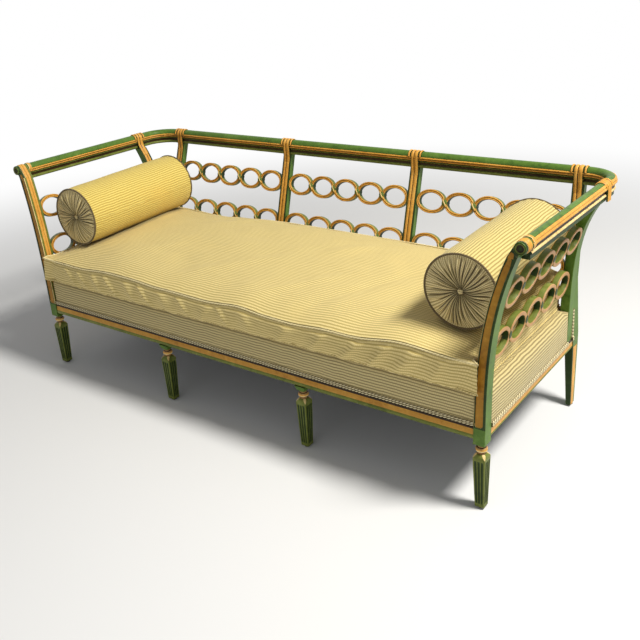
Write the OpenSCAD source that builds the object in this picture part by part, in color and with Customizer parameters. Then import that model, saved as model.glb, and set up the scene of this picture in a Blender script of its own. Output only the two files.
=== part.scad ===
// Painted three-sided settee daybed: ring-and-bar galleries, upholstered deck,
// loose bench cushion and two bolsters. Millimetres, +Z up, +Y to the back.
// Inside each module y = 0 is the middle of the front posts; place() then moves
// everything so that the origin is the middle of the base.

/* [Seat frame] */
// Width over the outer faces of the outer legs
seat_w = 1874; // [1600:2:2100]
// Depth from the front of the front posts to the back of the rear posts
seat_d = 712; // [640:2:800]
// Height of the underside of the seat rails
rail_z = 222; // [200:1:250]
// Height of a seat rail
rail_h = 38; // [30:1:50]
// Thickness of a seat rail
rail_t = 30; // [24:1:36]
// Distance between the two inner front legs
inner_leg_gap = 610; // [500:2:760]

/* [Back and arms] */
// Height of the top rail's crown above the floor
back_h = 805; // [760:1:880]
// How far the arms flare sideways from foot to rail
arm_flare = 99; // [60:1:130]
// How far the rear arm posts flare, reckoned up to the roll
arm_post_flare = 119; // [80:1:150]
// How far the scroll rolls out beyond the line of its post
scroll_out = 11; // [0:1:16]
// How far the front arm posts bend back under the scroll
post_lean = 18; // [0:1:24]
// How far the back uprights lean back
back_rake = 108; // [70:1:130]
// Width of a back upright
upright_w = 40; // [34:1:46]
// Thickness of a back upright
upright_t = 26; // [20:1:30]
// Distance between the middles of the two inner back uprights
inner_upright_gap = 588; // [520:2:660]
// Inward lean of the end uprights, measured at the top rail
end_upright_lean = 24; // [0:1:30]
// Depth of an arm post, front to back
post_d = 40; // [34:1:46]
// Width of a front arm post at the seat
post_w_low = 36; // [30:1:42]
// Width of a front arm post under the rail
post_w_high = 28; // [24:1:32]
// Width of a rear arm post
arm_post_w = 30; // [26:1:36]
// Free gap between the rear arm post and the rear leg
rear_post_gap = 12; // [6:1:24]

/* [Top rail] */
// Radius of the rolled top of the rail
roll_r = 17; // [14:0.5:20]
// Whole height of the top rail
top_rail_h = 58; // [50:1:66]
// Radius of the rail's centre line at the rear corners
corner_r = 98; // [80:1:130]
// Radius of the scroll eye at the front of each arm
eye_r = 20; // [18:0.5:24]
// Thickness of a carved tie on the rail
tie_t = 4; // [2:0.5:6]
// Width of the middle strap of a tie
tie_w = 32; // [26:1:40]

/* [Ring galleries] */
// Height of one oval ring
ring_h = 86; // [70:1:96]
// Width of the face of a ring
ring_band = 12; // [9:0.5:16]
// Thickness of a ring
ring_d = 22; // [14:1:24]
// Rings in one run
ring_count = 5; // [4:1:6]

/* [Legs] */
// Width of a front leg at its shoulder
leg_w_high = 38; // [32:1:44]
// Width of a front leg at the foot
leg_w_low = 28; // [22:1:34]
// Width of a rear leg at the foot
rear_leg_w_low = 16; // [12:1:24]
// Width of a rear leg under the rail
rear_leg_w_high = 28; // [22:1:36]
// Height of a foot glide
glide_h = 6; // [4:1:10]

/* [Upholstery] */
// Height of the fixed upholstered deck
deck_h = 110; // [90:1:124]
// Thickness of the loose cushion at its seams
cushion_edge_h = 84; // [70:1:100]
// Crown of the loose cushion above its seams
cushion_crown = 40; // [25:1:60]
// How much thicker the loose cushion is at its back edge than at its front
cushion_back_rise = 46; // [0:1:60]
// Radius of a bolster
bolster_r = 112; // [90:1:115]
// Length of a bolster over its end seams
bolster_l = 520; // [460:2:560]
// Distance from the cushion's back edge to a bolster's far seam
bolster_back_gap = 35; // [20:1:90]

/* [Hidden] */
$fn = 48;

// Colours of the painted wood, the cloth and the small fittings
green = [0.33, 0.43, 0.17];
gold = [0.78, 0.53, 0.2];
dark = [0.16, 0.13, 0.09];
cloth = [0.86, 0.77, 0.46];
timber = [0.66, 0.5, 0.32];
jute = [0.62, 0.52, 0.36];

// Clearances and the overrun that every cut shares
soft_gap = 0.4;
overrun = 5;

// Heights
rail_top = rail_z + rail_h;
top_rail_z = back_h - top_rail_h;
roll_z = back_h - roll_r;
deck_top = rail_top + deck_h;

// Front and back faces, and the middles of the outer legs and rear members
post_front = -post_d / 2;
post_back = post_d / 2;
seat_back = post_front + seat_d;
leg_x = seat_w / 2 - leg_w_high / 2;
post_x = seat_w / 2 - post_w_low / 2;
arm_x = post_x + arm_flare;
rear_post_d = 48;
rear_post_front = seat_back - rear_post_d;
arm_post_back = rear_post_front - rear_post_gap;
arm_post_front = arm_post_back - post_d;
arm_post_y = arm_post_back - post_d / 2;
inner_leg_x = inner_leg_gap / 2;
inner_upright_x = inner_upright_gap / 2;

// Seat rails stand this far behind the faces of the posts
rail_set_back = 4;
rail_front = post_front + rail_set_back;
rail_inside_y = rail_front + rail_t;
rail_outside_x = seat_w / 2 - rail_set_back / 2;
rail_inside_x = rail_outside_x - rail_t;
bead_h = 11;
bead_set_in = 3;
bead_proud = 0.8;
rail_bead_r = 5;
rail_back_front = rear_post_front;

// The back leans along one line from this height up to the top rail
rake_start_share = 1.0915;
rake_start_z = rail_top + rake_start_share * deck_h;
rake_slope = back_rake / (top_rail_z - rake_start_z);
rake_angle = atan(rake_slope);
function rake_front(z) = rear_post_front + max(0, z - rake_start_z) * rake_slope;
rail_line_y = rake_front(top_rail_z) + upright_t / 2;

// End uprights lean in towards the top rail
end_upright_x = seat_w / 2 - upright_w / 2;
lean_angle = atan(end_upright_lean / (top_rail_z - rail_top));
function end_upright_at(z) = end_upright_x - (z - rail_top) * tan(lean_angle);

// Sideways curve of an arm post: a straight share and a cubic share of the flare
post_flare = arm_flare - scroll_out;
straight_share = 0.12;
cubic_share = 1 - straight_share;
function flare_at(z) =
  let (t = (z - rail_z) / (roll_z - rail_z))
  post_flare * (straight_share * t + cubic_share * pow(t, 3));
function flare_slope(z) =
  let (t = (z - rail_z) / (roll_z - rail_z))
  post_flare * (straight_share + 3 * cubic_share * t * t) / (roll_z - rail_z);
// The rear arm posts keep straighter and turn out later
arm_post_power = 5;
function arm_post_flare_at(z) =
  let (t = (z - rail_z) / (roll_z - rail_z))
  arm_post_flare * (straight_share * t + cubic_share * pow(t, arm_post_power));
function post_w_at(z) =
  post_w_low + (post_w_high - post_w_low) * (z - rail_z) / (roll_z - rail_z);
post_steps = 14;
// The scroll grows out of its post a little below the drum, along a tangent
scroll_root_share = 1.3;
scroll_root_z = roll_z - scroll_root_share * eye_r;
scroll_root_w = post_w_at(scroll_root_z);
scroll_root_x = post_x + flare_at(scroll_root_z) - scroll_root_w / 2;
scroll_root_away = [scroll_root_x - arm_x, scroll_root_z - roll_z];
scroll_angle = atan2(scroll_root_away[1], scroll_root_away[0]) - acos(eye_r / norm(scroll_root_away));
function post_lean_at(z) =
  post_lean * pow(max(0, (z - rail_top) / (scroll_root_z - rail_top)), 3);
post_front_high = post_front + post_lean;
post_back_high = post_back + post_lean;
panel_margin = 7;
panel_deep = 1.5;

// Outermost places of the whole piece, for the origin
cushion_overhang = 6;
cushion_bulge = 7;
front_reach = post_front - cushion_overhang - cushion_bulge;
back_reach = rail_line_y + roll_r + tie_t;
mid_y = (front_reach + back_reach) / 2;

// Block, neck and shoulder of a turned and tapered leg
block_drop = 10;
block_chamfer = 6;
block_bottom = rail_z - block_drop - block_chamfer;
neck_r = 11;
neck_ring_r = 17;
neck_h = 28;
neck_ring_h = 11;
shoulder_h = 13;
leg_top = block_bottom - neck_h - shoulder_h;
flute_w = 5;
flute_deep = 2;
flute_end = 9;
glide_r = 9;

// Sections of the top rail, from its own base
bead_r = 4.5;
foot_bead_r = 5.5;
web_w = 22;
foot_w = 32;
roll_up = top_rail_h - roll_r;
side_strap_w = 9;
side_strap_gap = 2;
collar_w = 13;
collar_gap = 3;
collar_proud = 5;
collar_r = roll_r + collar_proud;
eye_lip = 4;
eye_inner_share = 0.5;

// Knuckles between the rings
knuckle_w = 16;
knuckle_h = 24;
knuckle_proud = 3;
ring_end_clear = 0.3;
arm_ring_offset_upper = 4;
arm_ring_offset_lower = -4.5;
// The two rows stand at fixed shares of the height between the deck and the top rail
upper_row_share = 0.7003;
lower_row_share = 0.2997;
upper_row_z = deck_top + upper_row_share * (top_rail_z - deck_top);
lower_row_z = deck_top + lower_row_share * (top_rail_z - deck_top);

// Webbing, dust cover, corner blocks and cross rails
web_strap_w = 50;
web_strap_t = 1.5;
web_rows = 4;
web_columns = 12;
dust_t = 1;
dust_margin = 12;
corner_block_leg = 66;
corner_block_h = 28;
cross_rail_w = 28;
cross_rail_h = 30;

// Deck pad edge rounding and its welts
deck_edge_r = 26;
deck_set_back = 4;
welt_r = 3.6;

// Loose cushion: cells along and across, and the share of its side that swells
cushion_columns = 26;
cushion_rows = 12;
cushion_front = post_front - cushion_overhang;
cushion_back = rear_post_front - 6 * soft_gap - cushion_bulge;
cushion_half_l = post_x - post_w_low / 2 - 4 * soft_gap;
cushion_bottom = deck_top + soft_gap;
cushion_seam = cushion_bottom + cushion_edge_h;
cushion_top = cushion_seam + cushion_crown;
front_sag = 12;
crown_power = 4;
crown_power_long = 8;
end_drop_share = 0.25;

// Bolsters rest on the cushion's crown beside each arm
bolster_dish = 6;
bolster_end_swell = 12;
bolster_arm_gap = 1;
button_r = 14;
button_t = 8;
bolster_back = cushion_back - bolster_back_gap;
bolster_front = bolster_back - bolster_l;
bolster_y = (bolster_front + bolster_back) / 2;
// It stands clear of the arm's inner face at every height of its curve
bolster_x = min([for (a = [-60 : 5 : 60])
  let (z = cushion_top + bolster_r * (1 + sin(a)))
  post_x + arm_post_flare_at(z) - arm_post_w / 2 - bolster_arm_gap - bolster_r * cos(a)]);
// It slopes up to the back with the cushion
bolster_slope_share = 0.4;
bolster_slope = bolster_slope_share * cushion_back_rise / (cushion_back - cushion_front);
bolster_tilt = atan(bolster_slope);
// Height of the cushion's flat facets at a place, between its four nearest grid points
function facet_z(u, v) =
  let (a = (u + 1) / 2 * cushion_columns, b = (v + 1) / 2 * cushion_rows)
  let (i = min(floor(a), cushion_columns - 1), j = min(floor(b), cushion_rows - 1))
  let (p = a - i, q = b - j)
  (1 - p) * ((1 - q) * top_z(grid_u(i), grid_v(j)) + q * top_z(grid_u(i), grid_v(j + 1)))
  + p * ((1 - q) * top_z(grid_u(i + 1), grid_v(j)) + q * top_z(grid_u(i + 1), grid_v(j + 1)));
bolster_z = soft_gap + max([for (across = [-0.6 : 0.05 : 0.6]) for (v = [-0.8 : 0.05 : 1])
  facet_z((bolster_x + across * bolster_r) / cushion_half_l, v)
    + bolster_r * sqrt(1 - across * across) / cos(bolster_tilt)
    - bolster_slope * (cushion_y(v) - bolster_y)]);

module place() {
  translate([0, -mid_y, 0]) children();
}

// Mirrors its children to the left for side = -1
module on_side(side) {
  if (side > 0) children();
  else mirror([1, 0, 0]) children();
}

// A block whose width changes evenly from low_w at z0 to high_w at z1, both ways
module taper_block(low_w, high_w, z0, z1) {
  intersection() {
    rotate([90, 0, 0])
      linear_extrude(max(low_w, high_w) + 2 * overrun, center = true)
        polygon([[-low_w / 2, z0], [low_w / 2, z0], [high_w / 2, z1], [-high_w / 2, z1]]);
    rotate([90, 0, 90])
      linear_extrude(max(low_w, high_w) + 2 * overrun, center = true)
        polygon([[-low_w / 2, z0], [low_w / 2, z0], [high_w / 2, z1], [-high_w / 2, z1]]);
  }
}

// Front view of a front post as points: up one edge and down the other
function post_points(z0, z1) = concat(
  [for (i = [0 : post_steps])
    let (z = z0 + (z1 - z0) * i / post_steps)
    [post_x + flare_at(z) + post_w_at(z) / 2, z]],
  [for (i = [post_steps : -1 : 0])
    let (z = z0 + (z1 - z0) * i / post_steps)
    [post_x + flare_at(z) - post_w_at(z) / 2, z]]
);

// Extrudes a drawing in X and Z from y0 to y1
module along_y(y0, y1) {
  translate([0, y1, 0]) rotate([90, 0, 0]) linear_extrude(y1 - y0) children();
}

// Extrudes a drawing in Y and Z from x0 to x1
module along_x(x0, x1) {
  translate([x0, 0, 0]) rotate([90, 0, 90]) linear_extrude(x1 - x0) children();
}

// Outline of the sunk panel on the face of a front post
function panel_points(z0, z1) = concat(
  [for (i = [0 : post_steps])
    let (z = z0 + (z1 - z0) * i / post_steps)
    [post_x + flare_at(z) + post_w_at(z) / 2 - panel_margin, z]],
  [for (i = [post_steps : -1 : 0])
    let (z = z0 + (z1 - z0) * i / post_steps)
    [post_x + flare_at(z) - post_w_at(z) / 2 + panel_margin, z]]
);

// Side view of a front post as points: up its front and down its back
function side_points(y0, y1, z0, z1) = concat(
  [for (i = [0 : post_steps])
    let (z = z0 + (z1 - z0) * i / post_steps)
    [y0 + post_lean_at(z), z]],
  [for (i = [post_steps : -1 : 0])
    let (z = z0 + (z1 - z0) * i / post_steps)
    [y1 + post_lean_at(z), z]]
);

// The drum and the root that joins it to the post
module scroll_outline() {
  translate([arm_x, roll_z]) circle(r = eye_r);
  polygon([[scroll_root_x, scroll_root_z],
    [arm_x + eye_r * cos(scroll_angle), roll_z + eye_r * sin(scroll_angle)],
    [arm_x, roll_z], [scroll_root_x + scroll_root_w, scroll_root_z]]);
}

// Front post with its corner block and the drum of the scroll
module front_post(side) {
  color(green) place() on_side(side) {
    difference() {
      union() {
        intersection() {
          along_y(post_front, post_back_high) polygon(post_points(rail_top, scroll_root_z));
          along_x(0, seat_w) polygon(side_points(post_front, post_back, rail_top, scroll_root_z));
        }
        along_y(post_front_high, post_back_high) scroll_outline();
        translate([post_x - post_w_low / 2, post_front, rail_z - block_drop])
          cube([post_w_low, post_d, rail_h + block_drop + overrun]);
        translate([leg_x, 0, 0])
          taper_block(leg_w_low, post_w_low, block_bottom, rail_z - block_drop);
      }
      intersection() {
        along_y(post_front - overrun, post_back)
          polygon(panel_points(rail_top + panel_margin, scroll_root_z - panel_margin));
        along_x(0, seat_w) polygon(
          side_points(post_front - overrun, post_front + panel_deep, rail_top, scroll_root_z));
      }
    }
  }
}

// Turned disc let in front of the scroll drum
module scroll_eye(side) {
  place() on_side(side)
    translate([arm_x, post_front_high, roll_z]) rotate([90, 0, 0])
      rotate_extrude()
        polygon([[0, 0], [eye_r, 0], [eye_r, eye_lip / 2], [eye_r - eye_lip / 2, eye_lip],
          [eye_r * eye_inner_share, eye_lip / 2], [eye_r * eye_inner_share / 2, eye_lip],
          [0, eye_lip]]);
}

module scroll_eyes() {
  color(green) for (side = [-1, 1]) scroll_eye(side);
}

// Square tapered leg with flutes, shoulders and a turned neck with one ring
module front_leg(x) {
  color(green) place() translate([x, 0, 0]) {
    difference() {
      taper_block(leg_w_low, leg_w_high, glide_h, leg_top);
      for (quarter = [0 : 3]) rotate([0, 0, 90 * quarter]) leg_flutes();
    }
    taper_block(leg_w_high, 2 * neck_r, leg_top, leg_top + shoulder_h);
    translate([0, 0, leg_top + shoulder_h]) neck();
  }
}

// Two flutes on the face that looks to -Y, sloping with the face
module leg_flutes() {
  run = leg_top - glide_h;
  slope = atan((leg_w_high - leg_w_low) / 2 / run);
  for (dx = [-flute_w, flute_w])
    translate([dx, -leg_w_low / 2, glide_h]) rotate([slope, 0, 0])
      translate([0, 0, flute_end]) cylinder(r = flute_w / 2, h = run - 2 * flute_end);
}

module neck() {
  ring_mid = neck_h / 2;
  rotate_extrude()
    polygon([[0, 0], [neck_r, 0], [neck_r, ring_mid - neck_ring_h / 2],
      [neck_ring_r - neck_ring_h / 4, ring_mid - neck_ring_h / 2],
      [neck_ring_r, ring_mid - neck_ring_h / 4],
      [neck_ring_r, ring_mid + neck_ring_h / 4],
      [neck_ring_r - neck_ring_h / 4, ring_mid + neck_ring_h / 2],
      [neck_r, ring_mid + neck_ring_h / 2], [neck_r, neck_h], [0, neck_h]]);
}

// Inverted pyramid that carries an inner front leg under the rail
module leg_block(x) {
  color(green) place() translate([x, 0, 0]) taper_block(leg_w_low, post_d, block_bottom, rail_z);
}

// Side outline of a back upright from z0 up to the top rail
module upright_outline(z0, low_d) {
  deep_z = rake_start_z + (low_d - upright_t) / rake_slope;
  polygon([
    [rear_post_front, z0], [rear_post_front, rake_start_z],
    [rake_front(top_rail_z + overrun), top_rail_z + overrun],
    [rake_front(top_rail_z + overrun) + upright_t, top_rail_z + overrun],
    [rear_post_front + low_d, deep_z], [rear_post_front + low_d, z0]
  ]);
}

// Rear leg, seat block and leaning end upright, sawn from one board
module rear_post(side) {
  outer = seat_w / 2;
  color(green) place() on_side(side) {
    intersection() {
      translate([end_upright_x, 0, rail_top]) rotate([0, -lean_angle, 0])
        translate([0, 0, -rail_top]) along_x(-upright_w / 2, upright_w / 2)
          upright_outline(rail_top - 2 * overrun, rear_post_d);
      translate([0, 0, rail_top]) cube([seat_w, 2 * seat_d, top_rail_z - rail_top]);
    }
    translate([outer - upright_w, rear_post_front, rail_z])
      cube([upright_w, rear_post_d, rail_h]);
    rear_leg_shape(outer);
  }
}

// Rear leg: its outer and front faces stay straight, the others taper
module rear_leg_shape(outer) {
  foot_d = rear_post_d - (rear_leg_w_high - rear_leg_w_low);
  intersection() {
    along_y(rear_post_front, seat_back)
      polygon([[outer, glide_h], [outer, rail_z], [outer - rear_leg_w_high, rail_z],
        [outer - rear_leg_w_low, glide_h]]);
    along_x(outer - upright_w, outer)
      polygon([[rear_post_front, glide_h], [rear_post_front, rail_z], [seat_back, rail_z],
        [rear_post_front + foot_d, glide_h]]);
  }
}

// Plain tapered leg under the back rail
module rear_leg_inner(x) {
  color(green) place() translate([x, rear_post_front + rail_t / 2, 0])
    taper_block(rear_leg_w_low, rear_leg_w_high, glide_h, rail_z);
}

module foot_glides() {
  rear_foot = rear_leg_w_low / 2;
  color(dark) place() for (side = [-1, 1]) {
    for (x = [leg_x, inner_leg_x]) translate([side * x, 0, 0]) cylinder(r = glide_r, h = glide_h);
    translate([side * (seat_w / 2 - rear_foot), rear_post_front + rear_post_d / 2, 0])
      cylinder(r = rear_foot, h = glide_h);
    translate([side * inner_leg_x, rear_post_front + rail_t / 2, 0])
      cylinder(r = rear_foot, h = glide_h);
  }
}

// Section of a seat rail: a flat face with a set-in bead along its foot
module seat_rail_section() {
  square_top = rail_h - bead_h;
  translate([0, rail_z + bead_h]) square([rail_t, square_top]);
  translate([bead_set_in, rail_z]) square([rail_t - bead_set_in, bead_h]);
  translate([rail_bead_r - bead_proud, rail_z + bead_h / 2]) circle(r = rail_bead_r);
}

module seat_rail_front() {
  inside = post_x - post_w_low / 2;
  color(gold) place() translate([0, rail_front, 0]) along_x(-inside, inside) seat_rail_section();
}

module seat_rail_back() {
  inside = seat_w / 2 - upright_w;
  color(green) place() translate([0, rail_back_front + rail_t, 0]) mirror([0, 1, 0])
    along_x(-inside, inside) seat_rail_section();
}

module seat_rail_side(side) {
  color(gold) place() on_side(side) translate([rail_outside_x, 0, 0]) mirror([1, 0, 0])
    along_y(post_back, rear_post_front) seat_rail_section();
}

// Cross rail that ties the front and back rails over an inner leg
module cross_rail(side) {
  color(timber) place()
    translate([side * inner_leg_x - cross_rail_w / 2, rail_inside_y,
        rail_z + (rail_h - cross_rail_h) / 2])
      cube([cross_rail_w, rail_back_front - rail_inside_y, cross_rail_h]);
}

module corner_blocks() {
  low = rail_z + (rail_h - corner_block_h) / 2;
  post_in = post_x - post_w_low / 2;
  color(timber) place() for (side = [-1, 1]) on_side(side) translate([0, 0, low]) {
    linear_extrude(corner_block_h) polygon([
      [post_in, rail_inside_y], [post_in - corner_block_leg, rail_inside_y],
      [rail_inside_x, rail_inside_y + corner_block_leg + rail_inside_x - post_in],
      [rail_inside_x, post_back], [post_in, post_back]]);
    linear_extrude(corner_block_h) polygon([
      [rail_inside_x, rail_back_front], [rail_inside_x, rail_back_front - corner_block_leg],
      [rail_inside_x - corner_block_leg, rail_back_front]]);
  }
}

// Rear arm post: stands on the side rail and curves out to the arm rail
module arm_post(side) {
  outline = concat(
    [for (i = [0 : post_steps])
      let (z = rail_top + (top_rail_z - rail_top) * i / post_steps)
      [post_x + arm_post_flare_at(z) + arm_post_w / 2, z]],
    [for (i = [post_steps : -1 : 0])
      let (z = rail_top + (top_rail_z - rail_top) * i / post_steps)
      [post_x + arm_post_flare_at(z) - arm_post_w / 2, z]]);
  color(green) place() on_side(side) along_y(arm_post_front, arm_post_back) polygon(outline);
}

module back_upright(side) {
  color(green) place() intersection() {
    along_x(side * inner_upright_x - upright_w / 2, side * inner_upright_x + upright_w / 2)
      upright_outline(rail_top, rail_t);
    translate([-seat_w, 0, rail_top]) cube([2 * seat_w, 2 * seat_d, top_rail_z - rail_top]);
  }
}

// Section of the top rail, centred on its line, base at 0: roll, beads, web and foot
module top_rail_section() {
  translate([0, roll_up]) circle(r = roll_r);
  for (s = [-1, 1]) {
    translate([s * (roll_r - bead_r / 2), roll_up - bead_r]) circle(r = bead_r);
    translate([s * (foot_w / 2 - foot_bead_r), foot_bead_r]) circle(r = foot_bead_r);
  }
  translate([-web_w / 2, foot_bead_r]) square([web_w, roll_up - foot_bead_r]);
  translate([foot_bead_r - foot_w / 2, 0]) square([foot_w - 2 * foot_bead_r, 2 * foot_bead_r]);
}

corner_x = arm_x - corner_r;
corner_y = rail_line_y - corner_r;

module top_rail_back() {
  color(green) place() translate([0, rail_line_y, top_rail_z])
    along_x(-corner_x, corner_x) top_rail_section();
}

module top_rail_corner(side) {
  color(green) place() on_side(side) translate([corner_x, corner_y, top_rail_z])
    rotate_extrude(angle = 90, $fn = 96) translate([corner_r, 0]) top_rail_section();
}

module arm_rail(side) {
  color(green) place() on_side(side) translate([arm_x, 0, top_rail_z])
    along_y(post_back_high, corner_y) top_rail_section();
}

// Carved tie over the rail, around the section drawn at the origin and along +Z
module tie_section(full) {
  difference() {
    union() {
      translate([0, roll_up]) circle(r = roll_r + tie_t);
      if (full) translate([-roll_r - tie_t, 0]) square([2 * (roll_r + tie_t), roll_up]);
    }
    top_rail_section();
    if (!full) translate([-2 * roll_r, -roll_r]) square([4 * roll_r, roll_up + roll_r - bead_r]);
  }
}

module tie() {
  linear_extrude(tie_w, center = true) tie_section(true);
  for (s = [-1, 1])
    translate([0, 0, s * (tie_w / 2 + side_strap_gap + side_strap_w / 2)])
      linear_extrude(side_strap_w, center = true) tie_section(false);
}

module back_rail_ties() {
  end_x = end_upright_at(top_rail_z);
  color(gold) place() for (x = [-end_x, -inner_upright_x, inner_upright_x, end_x])
    translate([x, rail_line_y, top_rail_z]) rotate([90, 0, 90]) tie();
}

module arm_rail_ties() {
  color(gold) place() for (side = [-1, 1]) on_side(side)
    translate([arm_x, arm_post_y, top_rail_z]) rotate([90, 0, 0]) tie();
}

// Gold ring behind each scroll
module arm_rail_collars() {
  color(gold) place() for (side = [-1, 1]) on_side(side)
    translate([arm_x, post_back_high + collar_gap + collar_w, top_rail_z])
      rotate([90, 0, 0]) linear_extrude(collar_w) difference() {
        translate([0, roll_up]) circle(r = collar_r);
        top_rail_section();
      }
}

// One oval ring with round ends, standing in X and Z with its middle at the origin
module ring(pitch) {
  shift = pitch / 2 - ring_h / 2;
  inner_r = ring_h / 2 - ring_band;
  linear_extrude(ring_d, center = true) difference() {
    union() {
      for (s = [-1, 1]) translate([s * shift, 0]) circle(r = ring_h / 2);
      square([2 * shift, ring_h], center = true);
    }
    for (s = [-1, 1]) translate([s * shift, 0]) circle(r = inner_r);
    square([2 * shift, 2 * inner_r], center = true);
  }
}

// A run of rings of a given length, drawn along X with its face up, with knuckles
module ring_run(run) {
  pitch = run / ring_count;
  for (i = [0 : ring_count - 1]) translate([(i + 0.5) * pitch - run / 2, 0, 0]) ring(pitch);
  for (i = [1 : ring_count - 1]) translate([i * pitch - run / 2, 0, 0])
    linear_extrude(ring_d + 2 * knuckle_proud, center = true)
      square([knuckle_w, knuckle_h], center = true);
}

// Run of rings in the raked plane of the back, between x0 and x1
module back_rings(x0, x1, z) {
  along = x1 - x0 - 2 * ring_end_clear;
  color(gold) place()
    translate([(x0 + x1) / 2, rake_front(z) + upright_t / 2, z]) rotate([90 - rake_angle, 0, 0])
      ring_run(along);
}

module back_rings_end(side, z) {
  inner = inner_upright_x + upright_w / 2;
  outer = end_upright_at(z) - upright_w / 2 / cos(lean_angle) - ring_h / 2 * sin(lean_angle);
  if (side > 0) back_rings(inner, outer, z);
  else back_rings(-outer, -inner, z);
}

module back_rings_middle(z) {
  inner = inner_upright_x - upright_w / 2;
  back_rings(-inner, inner, z);
}

// Run of rings along an arm, tilted with the curve of the posts and turned to meet both
module arm_rings(side, z, offset) {
  front_y = post_back + post_lean_at(z);
  run = arm_post_front - front_y - 2 * ring_end_clear;
  front_x = post_x + flare_at(z) + offset;
  rear_x = post_x + arm_post_flare_at(z) + offset;
  color(gold) place() on_side(side)
    translate([(front_x + rear_x) / 2, (arm_post_front + front_y) / 2, z])
      rotate([0, 0, atan((front_x - rear_x) / run)])
        rotate([0, atan(flare_slope(z)), 0]) rotate([90, 0, 90]) ring_run(run);
}

// Jute straps tacked to the tops of the rails, long ones under short ones
module seat_webbing() {
  x_reach = rail_inside_x + rail_t / 2;
  y_low = rail_inside_y - rail_t / 2;
  y_high = rail_back_front + rail_t / 4;
  row_pitch = (rail_back_front - rail_inside_y) / web_rows;
  column_pitch = 2 * rail_inside_x / web_columns;
  color(jute) place() {
    for (i = [0 : web_rows - 1])
      translate([-x_reach, rail_inside_y + (i + 0.5) * row_pitch - web_strap_w / 2, rail_top])
        cube([2 * x_reach, web_strap_w, web_strap_t]);
    for (i = [0 : web_columns - 1])
      translate([(i + 0.5) * column_pitch - rail_inside_x - web_strap_w / 2, y_low, rail_top])
        cube([web_strap_w, y_high - y_low, 2 * web_strap_t]);
  }
}

module dust_cover() {
  x_reach = rail_inside_x + dust_margin / 2;
  y_low = rail_inside_y - dust_margin;
  y_high = rail_back_front + dust_margin / 2;
  post_in = post_x - post_w_low / 2 - soft_gap;
  rear_in = seat_w / 2 - upright_w - soft_gap;
  color(dark) place() translate([0, 0, rail_z - dust_t]) linear_extrude(dust_t) difference() {
    translate([-x_reach, y_low]) square([2 * x_reach, y_high - y_low]);
    for (side = [-1, 1]) {
      translate([side * inner_leg_x - post_d, post_front]) square([2 * post_d, post_d + dust_margin / 2]);
      translate([side * inner_leg_x - post_d, rail_back_front - dust_margin / 2])
        square([2 * post_d, post_d]);
      on_side(side) translate([post_in, post_front]) square([post_d, post_d + soft_gap]);
      on_side(side) translate([rear_in, rear_post_front - soft_gap]) square([post_d, post_d]);
    }
  }
}

// Fixed upholstered deck with rounded upper edges, notched round the posts
module deck_pad() {
  x_reach = rail_outside_x;
  y_low = rail_front + deck_set_back;
  y_high = rear_post_front - soft_gap;
  notch_x = post_x - post_w_low / 2 - soft_gap;
  color(cloth) place() difference() {
    hull() {
      deck_layer(x_reach, y_low, y_high, 0, rail_top);
      for (a = [0, 22.5, 45, 67.5, 90])
        deck_layer(x_reach, y_low, y_high, deck_edge_r * (1 - cos(a)),
          deck_top - deck_edge_r * (1 - sin(a)) - 2 * soft_gap);
    }
    translate([-rail_inside_x - rail_t / 2 - soft_gap, rail_inside_y - rail_t / 2 - soft_gap,
        rail_top - overrun])
      cube([2 * rail_inside_x + rail_t + 2 * soft_gap, 2 * seat_d, overrun + 2 * web_strap_t]);
    for (side = [-1, 1]) on_side(side) {
      translate([notch_x, post_front - overrun, rail_top - overrun])
        cube([seat_w, post_d + overrun + soft_gap, deck_h + 2 * overrun]);
      translate([notch_x, arm_post_front - soft_gap, rail_top - overrun])
        cube([seat_w, post_d + 2 * soft_gap, deck_h + 2 * overrun]);
    }
  }
}

module deck_layer(x_reach, y_low, y_high, inset, z) {
  translate([inset - x_reach, y_low + inset, z])
    cube([2 * (x_reach - inset), y_high - y_low - 2 * inset, 2 * soft_gap]);
}

// Double welt along the foot of the deck
module deck_gimp_front() {
  inside = post_x - post_w_low / 2;
  y = rail_front + deck_set_back - welt_r;
  color(cloth) place() for (i = [0, 1])
    translate([-inside, y, rail_top + welt_r + 2 * welt_r * i]) rotate([0, 90, 0])
      cylinder(r = welt_r, h = 2 * inside);
}

module deck_gimp_sides() {
  color(cloth) place() for (side = [-1, 1]) on_side(side) for (i = [1, 2])
    for (span = [[post_back, arm_post_front], [arm_post_back, rear_post_front]])
      translate([rail_outside_x + welt_r, span[1], rail_top + welt_r - 2 * welt_r * i])
        rotate([90, 0, 0]) cylinder(r = welt_r, h = span[1] - span[0]);
}

// Shape of the loose cushion over its plan, u and v running from -1 to 1
function swell(u, v) = (1 - pow(abs(u), crown_power_long)) * (1 - pow(abs(v), crown_power));
function side_swell(s) = cushion_bulge * (1 - pow(abs(s), crown_power));
function cushion_y(v) = (cushion_front + cushion_back) / 2 + v * (cushion_back - cushion_front) / 2;
function back_rise_at(u, v) =
  cushion_back_rise * (1 + v) / 2 * (1 - end_drop_share * pow(abs(u), crown_power));
function top_z(u, v) = cushion_seam + back_rise_at(u, v) + cushion_crown * swell(u, v)
  - front_sag * (1 - v) / 2 * (1 - pow(u, 2));
function grid_u(i) = 2 * i / cushion_columns - 1;
function grid_v(j) = 2 * j / cushion_rows - 1;
column_ids = [for (i = [0 : cushion_columns]) i];
row_ids = [for (j = [0 : cushion_rows]) j];
grid_size = (cushion_columns + 1) * (cushion_rows + 1);
function grid_id(i, j) = i * (cushion_rows + 1) + j;
rim = concat(
  [for (i = [0 : cushion_columns - 1]) [i, 0]],
  [for (j = [0 : cushion_rows - 1]) [cushion_columns, j]],
  [for (i = [cushion_columns : -1 : 1]) [i, cushion_rows]],
  [for (j = [cushion_rows : -1 : 1]) [0, j]]
);
rim_count = len(rim);
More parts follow.
